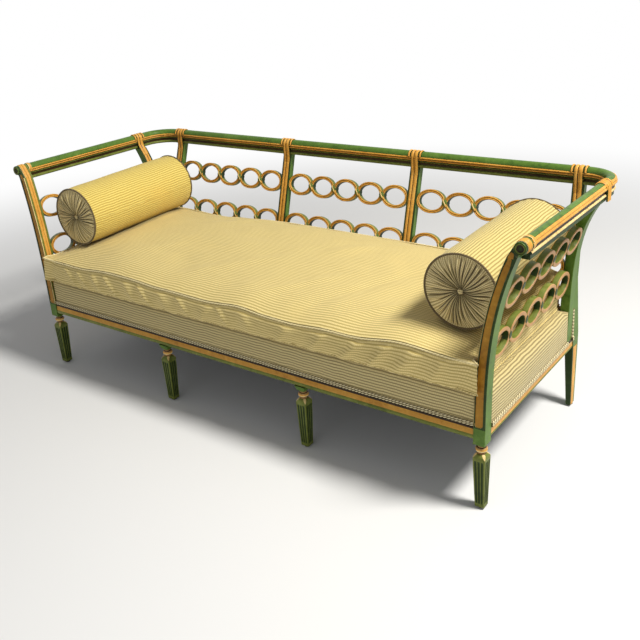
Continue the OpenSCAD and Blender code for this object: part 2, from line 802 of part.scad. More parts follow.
function rim_middle(k) =
  let (u = grid_u(rim[k][0]), v = grid_v(rim[k][1]))
  let (out_x = abs(u) == 1 ? sign(u) * side_swell(v) : 0)
  let (out_y = abs(v) == 1 ? sign(v) * side_swell(u) : 0)
  [u * cushion_half_l + out_x, cushion_y(v) + out_y, (cushion_bottom + top_z(u, v)) / 2];

module seat_cushion() {
  top = [for (i = column_ids) for (j = row_ids)
    [grid_u(i) * cushion_half_l, cushion_y(grid_v(j)), top_z(grid_u(i), grid_v(j))]];
  bottom = [for (i = column_ids) for (j = row_ids)
    [grid_u(i) * cushion_half_l, cushion_y(grid_v(j)), cushion_bottom]];
  middle = [for (k = [0 : rim_count - 1]) rim_middle(k)];
  cells = [for (i = [0 : cushion_columns - 1]) for (j = [0 : cushion_rows - 1]) [i, j]];
  top_faces = [for (c = cells) each [
    [grid_id(c[0], c[1]), grid_id(c[0], c[1] + 1), grid_id(c[0] + 1, c[1] + 1)],
    [grid_id(c[0], c[1]), grid_id(c[0] + 1, c[1] + 1), grid_id(c[0] + 1, c[1])]]];
  bottom_faces = [for (f = top_faces) [grid_size + f[0], grid_size + f[2], grid_size + f[1]]];
  side_faces = [for (k = [0 : rim_count - 1])
    let (n = (k + 1) % rim_count)
    let (t0 = grid_id(rim[k][0], rim[k][1]), t1 = grid_id(rim[n][0], rim[n][1]))
    let (b0 = grid_size + t0, b1 = grid_size + t1)
    let (m0 = 2 * grid_size + k, m1 = 2 * grid_size + n)
    each [[t0, t1, m1], [t0, m1, m0], [m0, m1, b1], [m0, b1, b0]]];
  color(cloth) place() polyhedron(
    points = concat(top, bottom, middle),
    faces = concat(top_faces, bottom_faces, side_faces), convexity = 4);
}

// Bolster: a slightly barrelled roll with puffed, dished ends
module bolster(side) {
  half = bolster_l / 2;
  barrel = bolster_r / 50;
  color(cloth) place()
    translate([side * bolster_x, bolster_y, bolster_z]) rotate([90 + bolster_tilt, 0, 0])
      rotate_extrude($fn = 64) polygon([
        [0, bolster_dish - half], [button_r, bolster_dish - half],
        [bolster_r / 2, -half - bolster_end_swell], [bolster_r * 0.8, -half - bolster_end_swell * 0.8],
        [bolster_r - barrel, -half], [bolster_r, -half / 2], [bolster_r, half / 2],
        [bolster_r - barrel, half], [bolster_r * 0.8, half + bolster_end_swell * 0.8],
        [bolster_r / 2, half + bolster_end_swell], [button_r, half - bolster_dish],
        [0, half - bolster_dish]]);
}

module bolster_buttons(side) {
  color(cloth) place() translate([side * bolster_x, bolster_y, bolster_z])
    rotate([bolster_tilt, 0, 0]) for (end = [-1, 1])
      translate([0, end * (bolster_l / 2 - bolster_dish), 0]) rotate([-90 * end, 0, 0])
        cylinder(r1 = button_r * 0.9, r2 = button_r / 2, h = button_t);
}

front_post(-1);  // front_post_left
front_post(1);  // front_post_right
front_leg(-leg_x);  // front_leg_outer_left
front_leg(leg_x);  // front_leg_outer_right
front_leg(-inner_leg_x);  // front_leg_inner_left
front_leg(inner_leg_x);  // front_leg_inner_right
leg_block(-inner_leg_x);  // leg_block_left
leg_block(inner_leg_x);  // leg_block_right
rear_post(-1);  // rear_post_left
rear_post(1);  // rear_post_right
rear_leg_inner(-inner_leg_x);  // rear_leg_inner_left
rear_leg_inner(inner_leg_x);  // rear_leg_inner_right
foot_glides();
seat_rail_front();
seat_rail_back();
seat_rail_side(-1);  // seat_rail_left
seat_rail_side(1);  // seat_rail_right
cross_rail(-1);  // cross_rail_left
cross_rail(1);  // cross_rail_right
corner_blocks();
arm_post(-1);  // arm_post_left
arm_post(1);  // arm_post_right
back_upright(-1);  // back_upright_left
back_upright(1);  // back_upright_right
top_rail_back();
top_rail_corner(-1);  // top_rail_corner_left
top_rail_corner(1);  // top_rail_corner_right
arm_rail(-1);  // arm_rail_left
arm_rail(1);  // arm_rail_right
back_rail_ties();
arm_rail_ties();
arm_rail_collars();
scroll_eyes();
back_rings_end(-1, upper_row_z);  // back_rings_upper_left
back_rings_middle(upper_row_z);  // back_rings_upper_middle
back_rings_end(1, upper_row_z);  // back_rings_upper_right
back_rings_end(-1, lower_row_z);  // back_rings_lower_left
back_rings_middle(lower_row_z);  // back_rings_lower_middle
back_rings_end(1, lower_row_z);  // back_rings_lower_right
arm_rings(-1, upper_row_z, arm_ring_offset_upper);  // arm_rings_upper_left
arm_rings(1, upper_row_z, arm_ring_offset_upper);  // arm_rings_upper_right
arm_rings(-1, lower_row_z, arm_ring_offset_lower);  // arm_rings_lower_left
arm_rings(1, lower_row_z, arm_ring_offset_lower);  // arm_rings_lower_right
seat_webbing();
dust_cover();
deck_pad();
deck_gimp_front();
deck_gimp_sides();
seat_cushion();
bolster(-1);  // bolster_left
bolster(1);  // bolster_right
bolster_buttons(-1);  // bolster_buttons_left
bolster_buttons(1);  // bolster_buttons_right
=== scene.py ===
import random
from math import acos, atan, atan2, copysign, cos, exp, hypot, pi, radians, sin, sqrt, tan, tau

import bmesh
import bpy
from mathutils import Matrix, Vector, noise


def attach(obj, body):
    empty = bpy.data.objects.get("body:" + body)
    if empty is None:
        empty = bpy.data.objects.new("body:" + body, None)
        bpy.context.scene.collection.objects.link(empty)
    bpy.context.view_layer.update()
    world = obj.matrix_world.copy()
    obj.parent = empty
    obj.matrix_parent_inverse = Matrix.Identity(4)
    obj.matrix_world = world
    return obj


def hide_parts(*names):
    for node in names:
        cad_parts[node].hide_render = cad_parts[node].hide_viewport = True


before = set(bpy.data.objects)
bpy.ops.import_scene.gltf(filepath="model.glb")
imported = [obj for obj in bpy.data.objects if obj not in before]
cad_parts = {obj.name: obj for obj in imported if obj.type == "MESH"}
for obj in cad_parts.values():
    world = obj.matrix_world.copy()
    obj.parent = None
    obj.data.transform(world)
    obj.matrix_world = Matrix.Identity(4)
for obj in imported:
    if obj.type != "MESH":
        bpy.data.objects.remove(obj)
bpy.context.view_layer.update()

random.seed(7)
SIDES = ((1, "right"), (-1, "left"))
SQUARE = ((-1, -1), (1, -1), (1, 1), (-1, 1))

# ---------------------------------------------------------------- sizes, in local mm
# y = 0 is the middle of the front posts; to_row() moves everything into the shared frame.
MID_Y = 376.5
RAIL_Z, RAIL_TOP, DECK_H, DECK_TOP = 222.0, 260.0, 110.0, 369.6
TOP_RAIL_Z, ROLL_Z, ROOT_Z = 747.0, 788.0, 762.0
PANEL_Z0, PANEL_Z1, POST_TOP = 262.0, 757.0, 746.5
POST_X, LEG_X, ARM_X, INNER_X, UPRIGHT_X = 919.0, 918.0, 1018.0, 305.0, 294.0
POST_HALF, POST_W_LOW, POST_W_HIGH, ARM_POST_W = 20.0, 36.0, 28.0, 30.0
POST_FLARE, ARM_POST_FLARE, STRAIGHT, POST_LEAN = 88.0, 119.0, 0.12, 18.0
SEAT_X, REAR_FRONT, SEAT_BACK = 937.0, 644.0, 692.0
ARM_POST_Y0, ARM_POST_Y1 = 592.0, 632.0
RAKE_Z, RAKE_SLOPE, UPRIGHT_T, UPRIGHT_HALF = 380.065, 0.29433, 26.0, 20.0
END_X, LEAN = 917.0, radians(2.82133)
LINE_Y, CORNER_X, CORNER_Y, CORNER_R = 765.0, 920.0, 667.0, 98.0
ROLL_R, ROLL_UP, SCROLL_R, COVER_R = 17.0, 41.0, 17.4, 18.8
RING_H, RINGS, RING_CLEAR = 86.0, 5, 0.3
CUSHION_X, CUSHION_Y0, CUSHION_Y1 = 899.4, -26.0, 634.6
CUSHION_Z0, CUSHION_SEAM, CUSHION_CROWN, CUSHION_RISE = 370.4, 454.4, 40.0, 46.0
BOLSTER_X, BOLSTER_Z, BOLSTER_R, BOLSTER_TILT = 813.581, 612.969, 112.0, radians(1.59548)
BOLSTER_Y0, BOLSTER_Y1 = 79.6, 599.6
CHAMFER, CORD_TWIST = 1.2, 0.9


def to_row(p):
    return Vector((p[0], p[1] - MID_Y, p[2])) / 1000.0


def arm_t(z):
    return (z - RAIL_Z) / (ROLL_Z - RAIL_Z)


def flare(z):
    t = arm_t(z)
    return POST_FLARE * (STRAIGHT * t + (1 - STRAIGHT) * t ** 3)


def arm_post_flare(z):
    t = arm_t(z)
    return ARM_POST_FLARE * (STRAIGHT * t + (1 - STRAIGHT) * t ** 5)


def post_lean(z):
    return POST_LEAN * min(1.0, max(0.0, (z - RAIL_TOP) / (ROOT_Z - RAIL_TOP))) ** 3


def post_w(z):
    return POST_W_LOW + (POST_W_HIGH - POST_W_LOW) * arm_t(z)


def rake_front(z):
    return REAR_FRONT + max(0.0, z - RAKE_Z) * RAKE_SLOPE


def end_x(z):
    return END_X - (z - RAIL_TOP) * tan(LEAN)


def smooth(t):
    t = min(1.0, max(0.0, t))
    return t * t * (3 - 2 * t)


def hump(t, power=0.7):
    """Round bulge: 0 at t = 0 and t = 1, 1 halfway."""
    return sin(pi * t) ** power


def bell(distance, width):
    return exp(-(distance / width) ** 2)


def drift(x, y, z):
    return noise.noise(Vector((x, y, z)))


def circle(count):
    return [(cos(tau * k / count), sin(tau * k / count)) for k in range(count)]


def arc(centre, radius, start, end, steps):
    angles = [radians(start + (end - start) * k / steps) for k in range(steps + 1)]
    return [(centre[0] + radius * cos(a), centre[1] + radius * sin(a)) for a in angles]


def oblong(x0, x1, y0, y1):
    return [(x0, y0), (x1, y0), (x1, y1), (x0, y1)]


# ---------------------------------------------------------------- materials
class Net:
    """A node tree with short ways to add nodes; an input takes a value or a socket."""

    def __init__(self, tree):
        self.tree = tree

    def node(self, kind, inputs=None, **props):
        made = self.tree.nodes.new("ShaderNode" + kind)
        for key, value in props.items():
            setattr(made, key, value)
        for key, value in (inputs or {}).items():
            if isinstance(value, bpy.types.NodeSocket):
                self.tree.links.new(value, made.inputs[key])
            else:
                made.inputs[key].default_value = value
        return made

    def maths(self, operation, *values):
        return self.node("Math", dict(enumerate(values)), operation=operation).outputs[0]

    def add(self, a, b):
        return self.maths("ADD", a, b)

    def mul(self, a, b):
        return self.maths("MULTIPLY", a, b)

    def wave(self, phase):
        """1 at whole numbers of phase, 0 halfway between them."""
        turned = self.maths("COSINE", self.mul(phase, tau))
        return self.maths("MULTIPLY_ADD", turned, 0.5, 0.5)

    def mix(self, factor, a, b):
        a, b = [(*c, 1.0) if isinstance(c, tuple) else c for c in (a, b)]
        return self.node("Mix", {0: factor, 6: a, 7: b}, data_type="RGBA").outputs[2]

    def ramp(self, factor, low, high):
        return self.node("MapRange", {"Value": factor, "From Min": low, "From Max": high},
                         interpolation_type="SMOOTHSTEP").outputs["Result"]

    def grain(self, vector, scale, detail=4.0, rough=0.55):
        return self.node("TexNoise", {"Vector": vector, "Scale": scale, "Detail": detail,
                                      "Roughness": rough}).outputs["Fac"]

    def hollows(self, colour, reach, low, high, share, shade_tint):
        """Darkens colour in corners and folds as painted shade, from ambient occlusion."""
        shade = self.node("AmbientOcclusion", {"Distance": reach}, samples=8).outputs["AO"]
        return self.mix(self.mul(self.ramp(shade, low, high), share), colour, shade_tint)

    def seen(self):
        """1 for rays from the camera, mirrors and glass, 0 for light."""
        ray = self.node("LightPath").outputs
        seen = self.maths("MAXIMUM", ray["Is Camera Ray"], ray["Is Glossy Ray"])
        return self.maths("MAXIMUM", seen, ray["Is Transmission Ray"])

    def finish(self, colour, height, strength, distance):
        """Connects colour and relief to the shader."""
        bump = self.node("Bump", {"Strength": strength, "Distance": distance, "Height": height})
        for socket, name in ((colour, "Base Color"), (bump.outputs["Normal"], "Normal")):
            self.tree.links.new(socket, self.shader.inputs[name])


def new_material(name, rough, **extra):
    material = bpy.data.materials.new(name)
    material.use_nodes = True
    net = Net(material.node_tree)
    net.shader = net.tree.nodes["Principled BSDF"]
    for key, value in {"Roughness": rough, **extra}.items():
        net.shader.inputs[key.replace("_", " ")].default_value = value
    return material, net, net.node("TexCoord").outputs["Object"]


def paint(name, base, low, high, wear=(0.42, 0.33, 0.18), worn=0.35):
    """Brushed paint with a glaze: cloudy tone, fine streaks, painted shade in corners, rubbed edges.
    """
    material, net, place = new_material(name, 0.4, Coat_Weight=0.03, Coat_Roughness=0.35,
                                        Specular_IOR_Level=0.16)
    cloud = net.grain(place, 7.0, 5.0)
    streak = net.grain(place, 55.0, 6.0, 0.65)
    fine = net.grain(place, 520.0, 3.0)
    tone = net.add(net.mul(cloud, 0.45), net.mul(streak, 0.55))
    colour = net.mix(net.ramp(tone, 0.36, 0.5), low, base)
    colour = net.mix(net.ramp(tone, 0.5, 0.66), colour, high)
    # painted shade in corners and recesses, from ambient occlusion
    colour = net.hollows(colour, 0.009, 0.85, 0.3, 0.75, (0.03, 0.022, 0.012))
    edge = net.node("NewGeometry").outputs["Pointiness"]
    rubbed = net.mul(net.ramp(edge, 0.56, 0.66), net.ramp(streak, 0.42, 0.6))
    colour = net.mix(net.mul(rubbed, worn), colour, wear)
    uneven = net.add(net.mul(streak, 0.3), 0.26)
    net.tree.links.new(uneven, net.shader.inputs["Roughness"])
    net.finish(colour, net.add(net.mul(streak, 0.7), net.mul(fine, 0.3)), 0.35, 0.0007)
    return material


def ribbed_cloth(name, crest, valley, stain, pitch=0.0093, dash=0.0056, hollow=0.45, reach=0.03):
    """Ribbed cloth: the weave attribute gives metres along and across the ribs."""
    material, net, place = new_material(name, 0.86, Sheen_Weight=0.12, Sheen_Roughness=0.45)
    weave = net.node("Attribute", attribute_name="weave").outputs["Vector"]
    split = net.node("SeparateXYZ", {"Vector": weave}).outputs
    wander = net.mul(net.grain(place, 14.0, 2.0), 0.9)
    phase = net.add(net.maths("DIVIDE", split["Y"], pitch), wander)
    row = net.maths("FLOOR", net.add(phase, 0.5))
    stitch = net.wave(net.add(net.maths("DIVIDE", split["X"], dash), net.mul(row, 0.5)))
    woven = net.mul(net.ramp(net.wave(phase), 0.12, 0.62),
                    net.maths("MULTIPLY_ADD", stitch, 0.3, 0.7))
    cloud = net.grain(place, 5.0, 5.0, 0.6)
    fibre = net.grain(place, 900.0, 3.0)
    colour = net.mix(woven, valley, crest)
    colour = net.mix(net.mul(net.ramp(cloud, 0.52, 0.75), 0.35), colour, stain)
    colour = net.mix(net.mul(fibre, 0.22), colour, valley)
    # painted shade in folds, creases and corners, from ambient occlusion
    colour = net.hollows(colour, reach, 0.8, 0.2, hollow, (0.12, 0.085, 0.03))
    net.finish(colour, net.add(woven, net.mul(fibre, 0.12)), 0.8, 0.0013)
    return material


def plain(name, base, low, scale, rough, stretch=(1, 1, 1)):
    """Raw timber, jute, dust cloth and plastic: one tone with its own grain."""
    material, net, place = new_material(name, rough)
    mapped = net.node("Mapping", {"Vector": place, "Scale": stretch}).outputs["Vector"]
    grain = net.grain(mapped, scale, 6.0, 0.6)
    net.finish(net.mix(net.ramp(grain, 0.35, 0.65), low, base), grain, 0.5, 0.0006)
    return material


WOOD = [
    paint("green_paint_sun", (0.085, 0.165, 0.022), (0.05, 0.105, 0.013), (0.125, 0.22, 0.038)),
    paint("green_paint_olive", (0.145, 0.17, 0.03), (0.085, 0.11, 0.016), (0.21, 0.24, 0.055)),
    # green darkened as painted shade, for front faces, flutes, the upper inner walls of the rings
    # and hollows between parts
    paint("green_paint_in_shade", (0.022, 0.045, 0.007), (0.013, 0.028, 0.004),
          (0.034, 0.062, 0.011)),
    paint("gold_paint", (0.66, 0.33, 0.055), (0.53, 0.25, 0.036), (0.76, 0.43, 0.1),
          wear=(0.34, 0.36, 0.1)),
    paint("gold_paint_shaded", (0.38, 0.18, 0.017), (0.27, 0.12, 0.011), (0.5, 0.26, 0.03),
          wear=(0.5, 0.32, 0.1)),
    # dark line colour: glaze in the grooves, and painted shadow under the welts on the seat rails
    paint("glaze_and_shadow_line", (0.035, 0.02, 0.008), (0.02, 0.012, 0.005), (0.06, 0.032, 0.012),
          worn=0.1),
    paint("gold_paint_dusty", (0.46, 0.25, 0.095), (0.35, 0.17, 0.055), (0.56, 0.33, 0.135)),
    # pale gold on small turnings, and painted highlights on the outer arm beads and the strands over
    # the ring knuckles
    paint("gold_paint_pale_and_highlight", (0.74, 0.55, 0.24), (0.56, 0.38, 0.13), (0.84, 0.68, 0.36)),
    # bronze gold: gold darkened as painted shade, on the front and back rails' faces and in a groove
    # of the top rail
    paint("gold_paint_bronze_shade", (0.5, 0.25, 0.038), (0.38, 0.17, 0.022), (0.6, 0.33, 0.06))]
# sunlit green, olive, green in painted shade, gold, shaded gold, glaze line that also paints
# shadows, dusty, pale gold that also paints highlights, and bronze gold in painted shade
G, O, D, Y, C, L, R, P, B = range(9)

CLOTH = ribbed_cloth("cloth_cushion", (0.86, 0.7, 0.31), (0.48, 0.36, 0.11), (0.78, 0.6, 0.22))
CLOTH_DECK = ribbed_cloth("cloth_deck", (0.7, 0.58, 0.28), (0.27, 0.21, 0.085),
                          (0.56, 0.45, 0.19))
CLOTH_LEFT = ribbed_cloth("cloth_bolster_left", (0.82, 0.67, 0.19), (0.53, 0.36, 0.06),
                          (0.78, 0.5, 0.09))
CLOTH_RIGHT = ribbed_cloth("cloth_bolster_right", (0.74, 0.61, 0.24), (0.38, 0.28, 0.08),
                           (0.64, 0.49, 0.16))
# cloth of the bolster ends: its crest is lighter than the bolsters' cloth as a painted highlight,
# and it is darkened strongly in its pleats as painted shade
CLOTH_CAP = ribbed_cloth("cloth_cap", (0.92, 0.78, 0.42), (0.4, 0.3, 0.11), (0.6, 0.46, 0.18),
                         pitch=0.0062, dash=0.006, hollow=0.95, reach=0.016)
PIPING = ribbed_cloth("cloth_piping", (0.9, 0.79, 0.48), (0.17, 0.13, 0.06), (0.74, 0.6, 0.3),
                      pitch=0.0105, dash=0.004, hollow=0.2)
PIPING_SOFT = ribbed_cloth("cloth_piping_soft", (0.93, 0.8, 0.43), (0.72, 0.58, 0.27),
                           (0.84, 0.68, 0.32), pitch=0.0105, dash=0.004, hollow=0.2)
PIPING_DARK = ribbed_cloth("cloth_piping_dark", (0.2, 0.14, 0.055), (0.07, 0.05, 0.02),
                           (0.15, 0.11, 0.045), pitch=0.006, dash=0.004)
TIMBER = plain("timber_raw", (0.5, 0.34, 0.18), (0.36, 0.22, 0.1), 30.0, 0.7, (1, 6, 6))
JUTE = plain("jute_web", (0.5, 0.4, 0.25), (0.3, 0.22, 0.12), 420.0, 0.9)
DUST = plain("black_cloth", (0.035, 0.035, 0.037), (0.018, 0.018, 0.02), 600.0, 0.95)
GLIDE = plain("glide_plastic", (0.03, 0.028, 0.025), (0.015, 0.014, 0.012), 90.0, 0.45)


# ---------------------------------------------------------------- mesh building
class Shape:
    """Faces with material numbers and weave coordinates, drawn in local mm."""

    def __init__(self):
        self.points, self.faces, self.slots, self.weave = [], [], [], []

    def add(self, face, slot, weave=None):
        self.faces.append(face)
        self.slots.append(slot)
        self.weave.append(weave or [(0.0, 0.0)] * len(face))

    def loft(self, rows, slots, closed=True, ends=(), weave=None, loop=False):
        """Joins rows of points. slots: a number, a list by column, or a function of row, column."""
        start, count = len(self.points), len(rows[0])
        for row in rows:
            self.points.extend(row)
        for i in range(len(rows) if loop else len(rows) - 1):
            here, there = start + i * count, start + (i + 1) % len(rows) * count
            for j in range(count if closed else count - 1):
                k = (j + 1) % count
                slot = slots(i, j) if callable(slots) else (
                    slots[j] if isinstance(slots, list) else slots)
                self.add([here + j, here + k, there + k, there + j], slot,
                         weave and [weave(i, j), weave(i, j + 1), weave(i + 1, j + 1),
                                    weave(i + 1, j)])
        for which, slot in zip((0, len(rows) - 1), ends):
            hub = len(self.points)
            self.points.append(tuple(sum((Vector(p) for p in rows[which]), Vector()) / count))
            for j in range(count):
                a, b = start + which * count + j, start + which * count + (j + 1) % count
                self.add([hub, b, a] if which == 0 else [hub, a, b], slot)
        return self

    def tube(self, path, radius, slot, sides=10, closed=False):
        """Cord along a path, with its weave running along it."""
        path = [Vector(p) for p in path]
        count, lengths = len(path), [0.0]
        for a, b in zip(path, path[1:] + path[:1]):
            lengths.append(lengths[-1] + (b - a).length)
        rows, normal = [], None
        for i, p in enumerate(path):
            ahead = path[(i + 1) % count] if closed or i < count - 1 else p
            behind = path[i - 1] if closed or i > 0 else p
            along = (ahead - behind).normalized()
            if normal is None:
                normal = along.orthogonal().normalized()
            normal = (normal - along * normal.dot(along)).normalized()
            side = along.cross(normal)
            rows.append([tuple(p + radius * (c * normal + s * side)) for c, s in circle(sides)])

        def weave(i, j):
            across = lengths[i] * CORD_TWIST + tau * radius * j / sides
            return lengths[i] / 1000.0, across / 1000.0

        self.loft(rows, slot, ends=() if closed else (slot, slot), weave=weave, loop=closed)

    def turned(self, profile, centre, axis, kinds, sides=48, ends=()):
        """Revolves (radius, height) pairs about an axis through centre."""
        axis = Vector(axis)
        u = axis.orthogonal().normalized()
        v = axis.cross(u)
        rows = [[tuple(Vector(centre) + axis * height + radius * (c * u + s * v))
                 for c, s in circle(sides)] for radius, height in profile]
        return self.loft(rows, lambda i, j: kinds[i], ends=ends)

    def join(self, other, matrix=Matrix()):
        base = len(self.points)
        self.points.extend(tuple(matrix @ Vector(p)) for p in other.points)
        for face, slot, weave in zip(other.faces, other.slots, other.weave):
            self.add([base + k for k in face], slot, weave)
        return self

    def mirrored(self):
        made = Shape()
        made.points = [(-p[0], p[1], p[2]) for p in self.points]
        for face, slot, weave in zip(self.faces, self.slots, self.weave):
            made.add(face[::-1], slot, weave[::-1])
        return made

    def on(self, side):
        return self if side > 0 else self.mirrored()

    def lay_cloth(self, first=0, across=1):
        """Weave of the faces from the first on, straight from x and one other coordinate."""
        for index in range(first, len(self.faces)):
            self.weave[index] = [(self.points[k][0] / 1000, self.points[k][across] / 1000)
                                 for k in self.faces[index]]


def new_object(name, data):
    made = bpy.data.objects.new(name, data)
    bpy.context.scene.collection.objects.link(made)
    return made


def build(name, shape, materials, slot, body="frame", nodes=(), sharp=38.0, bevel=0.0, weld=0.01):
    mesh = bpy.data.meshes.new(name)
    mesh.from_pydata([to_row(p) for p in shape.points], [], shape.faces)
    for material in materials:
        mesh.materials.append(material)
    mesh.polygons.foreach_set("material_index", shape.slots)
    layer = mesh.attributes.new("weave", "FLOAT_VECTOR", "CORNER")
    flat = [value for face in shape.weave for a, b in face for value in (a, b, 0.0)]
    layer.data.foreach_set("vector", flat)
    work = bmesh.new()
    work.from_mesh(mesh)
    bmesh.ops.remove_doubles(work, verts=work.verts, dist=weld / 1000.0)
    bmesh.ops.recalc_face_normals(work, faces=work.faces)
    work.to_mesh(mesh)
    work.free()
    mesh.polygons.foreach_set("use_smooth", [True] * len(mesh.polygons))
    mesh.set_sharp_from_angle(angle=radians(sharp))
    piece = new_object(name, mesh)
    if bevel:
        rounding = piece.modifiers.new("edges", "BEVEL")
        rounding.width = bevel / 1000.0
        rounding.segments = 2
        rounding.limit_method = "ANGLE"
        rounding.angle_limit = radians(40)
        rounding.harden_normals = False
    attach(piece, body)
    if nodes:
        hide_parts(*nodes)
    return piece


def band(spec, length):
    """Turns (share, slot, height) entries into (distance, height, slot) along a face.

    Gold entries are round reeds, entries marked "sunk" are panels, the others are flat.
    """
    total = sum(entry[0] for entry in spec)
    out, at = [], 0.0
    for share, slot, *more in spec:
        height = more[0] if more else 0
        run = share / total * length
        if len(more) > 1:
            out += [(at, 0.0, L), (at + 0.35 * height, -height, slot),
                    (at + run - 0.35 * height, -height, L)]
        elif slot == Y:
            out += [(at + k / 7 * run, height * hump(k / 7), slot) for k in range(7)]
        else:
            out.append((at, height, slot))
        at += run
    return out


def section(corners, specs):
    """Closed section through corners, each side dressed by its own spec. Returns points, slots."""
    points, slots = [], []
    for i, spec in enumerate(specs):
        a, b = Vector(corners[i]), Vector(corners[(i + 1) % len(corners)])
        along = (b - a).normalized()
        out = Vector((along.y, -along.x))
        for distance, height, slot in band(spec, (b - a).length - 2 * CHAMFER):
            points.append(a + along * (CHAMFER + distance) + out * height)
            slots.append(slot)
        points.append(b - along * CHAMFER)
        slots.append(spec[-1][1])
    return points, slots


def column(shape, stations, specs, ends=(D, D)):
    """Adds a bar with dressed sides; each station is (corners, height)."""
    rows = []
    for corners, z in stations:
        points, slots = section(corners, specs)
        rows.append([(p.x, p.y, z) for p in points])
    return shape.loft(rows, slots, ends=ends)


# FLAT_SHADE_GREEN: a face all in the deep green of painted shade
FLAT_GREEN, FLAT_SHADE_GREEN = [(1, G)], [(1, D)]
# STRIP dresses the uprights' front faces; its deep green margins are painted shade
STRIP = [(4, D), (1, L), (9, Y, 1.6), (2.6, L, -0.6), (13, Y, 2.0), (1, L), (5, D)]


# ---------------------------------------------------------------- front posts and legs
def front_post():
    shape = Shape()
    zs = {212 + k * 6 for k in range(7)} | {250 + k * 2 for k in range(12)}
    zs |= {275 + k * 17 for k in range(28)}
    zs = sorted(z for z in zs if z < 752) + [754, ROOT_Z]
    rows, slot_rows = [], []
    for z in zs:
        width = post_w(max(z, RAIL_TOP))
        half, y = width / 2, post_lean(z)
        x = POST_X + (flare(z) if z > RAIL_TOP else
                      flare(RAIL_TOP) * smooth((z - RAIL_Z) / (RAIL_TOP - RAIL_Z)))
        end = min(z - PANEL_Z0, PANEL_Z1 - z)
        open_ = 0.0 if end < 0 else sqrt(max(0.0, 1 - (1 - min(1.0, end / 12)) ** 2))
        inner = max(0.04, (width - 9.6) * open_)
        near, far = 0.32 * (width - inner), 0.68 * (width - inner)
        # above the rail the front face round the panel is the deep green of painted shade
        ground = G if z < RAIL_TOP else D
        front = [(near, ground), (inner, C if open_ > 0 else G,
                                  max(0.02, 1.6 * smooth(open_ * 3)), "sunk"), (far, ground)]
        reed = smooth((z - PANEL_Z0) / 10)
        inside = [(8.0, O), (1.0, L), (10, Y, 0.05 + 2.1 * reed), (1.4, C, -0.3 * reed),
                  (11, Y, 0.05 + 2.3 * reed), (1.0, L), (7, O), (1.6, P)]
        points, slots = section(oblong(x - half, x + half, y - POST_HALF, y + POST_HALF),
                                [front, FLAT_GREEN, FLAT_GREEN, inside])
        if z <= PANEL_Z0:
            slots = [G if slot in (Y, L, O, P) else slot for slot in slots]
        elif z < PANEL_Z0 + 13:
            slots = [P if slot == L and j < 6 else slot for j, slot in enumerate(slots)]
        rows.append([(p.x, p.y, z) for p in points])
        slot_rows.append(slots)
    shape.loft(rows, lambda i, j: slot_rows[i][j], ends=(G, G))
    # the taper under the block, down to the neck
    shape.loft([[(LEG_X + sx * half_x, sy * half_y, z) for sx, sy in SQUARE]
                for half_x, half_y, z in ((18, 20, 212), (17.6, 19.4, 209), (14.5, 15.5, 206))],
               G, ends=(G, D))
    # scroll: the post runs up in a tangent and rolls over the drum, with its reeds on it
    root_w = post_w(ROOT_Z)
    root_x = POST_X + flare(ROOT_Z) - root_w / 2
    away = Vector((root_x - ARM_X, ROOT_Z - ROLL_Z))
    start = atan2(away.y, away.x) % tau - acos(SCROLL_R / away.length)
    stop = atan2(ROOT_Z - ROLL_Z, root_x + root_w - ARM_X)
    outline = [(root_x, ROOT_Z - 1, cos(start), sin(start))]
    for k in range(49):
        angle = start + (stop - start) * k / 48
        c, s = cos(angle), sin(angle)
        outline.append((ARM_X + SCROLL_R * c, ROLL_Z + SCROLL_R * s, c, s))
    outline += [(root_x + root_w, ROOT_Z - 1, 1.0, 0.0),
                (root_x + root_w / 2, ROOT_Z - 1, 0.0, 0.0)]
    stations = [(0.0, -1.4, D), (1.2, 0.0, D), (7.4, 0.0, P), (8.6, 0.0, L)]
    stations += [(9.6 + 10 * k / 6, 0.05 + 2.1 * hump(k / 6), Y) for k in range(6)]
    stations += [(19.6, -0.3, C)]
    stations += [(21.0 + 11 * k / 6, 0.05 + 2.3 * hump(k / 6), Y) for k in range(6)]
    stations += [(32.0, 0.0, L), (33.0, 0.0, O), (39.4, 0.0, D), (40.0, -1.0, D)]
    face_y = POST_LEAN - POST_HALF
    rows = [[(x + nx * out, face_y + y, z + nz * out) for x, z, nx, nz in outline]
            for y, out, _ in stations]
    shape.loft(rows, lambda i, j: stations[i][2] if j < 38 else G, ends=(D, D))
    # the panel runs on up the front of the scroll as a rounded tongue
    touch = Vector((ARM_X + SCROLL_R * cos(start), ROLL_Z + SCROLL_R * sin(start)))
    rows = []
    for k in range(13):
        t = k / 12
        z = PANEL_Z1 - 6 + 24 * t
        rise = (z - ROOT_Z) / (touch.y - ROOT_Z)
        left = root_x + 3.4 + (touch.x - root_x) * (rise if z > ROOT_Z else 0.25 * rise)
        wide = 15.6 * sqrt(max(0.01, 1 - t ** 3))
        rows.append([(x, y, z) for x, y in oblong(left, left + wide, face_y - 0.5, face_y + 3)])
    return shape.loft(rows, C, ends=(C, C))


def scroll_eye():
    profile = [(15.8, 0.0), (16.9, -0.6), (17.1, -2.2), (16.2, -3.8), (15.2, -3.8), (14.6, -2.6),
               (14.2, -2.8), (13.4, -4.0), (12.0, -4.4), (10.6, -3.8), (9.8, -2.2), (8.6, -1.0),
               (6.4, -0.8), (5.0, -1.6), (3.6, -2.8), (1.6, -3.2), (0.2, -3.2)]
    kinds = [D, D, G, G, L, L, O, O, O, O, L, L, L, D, D, D]
    return Shape().turned(profile, (ARM_X, POST_LEAN - POST_HALF, ROLL_Z), (0, 1, 0), kinds,
                          ends=(D, D))


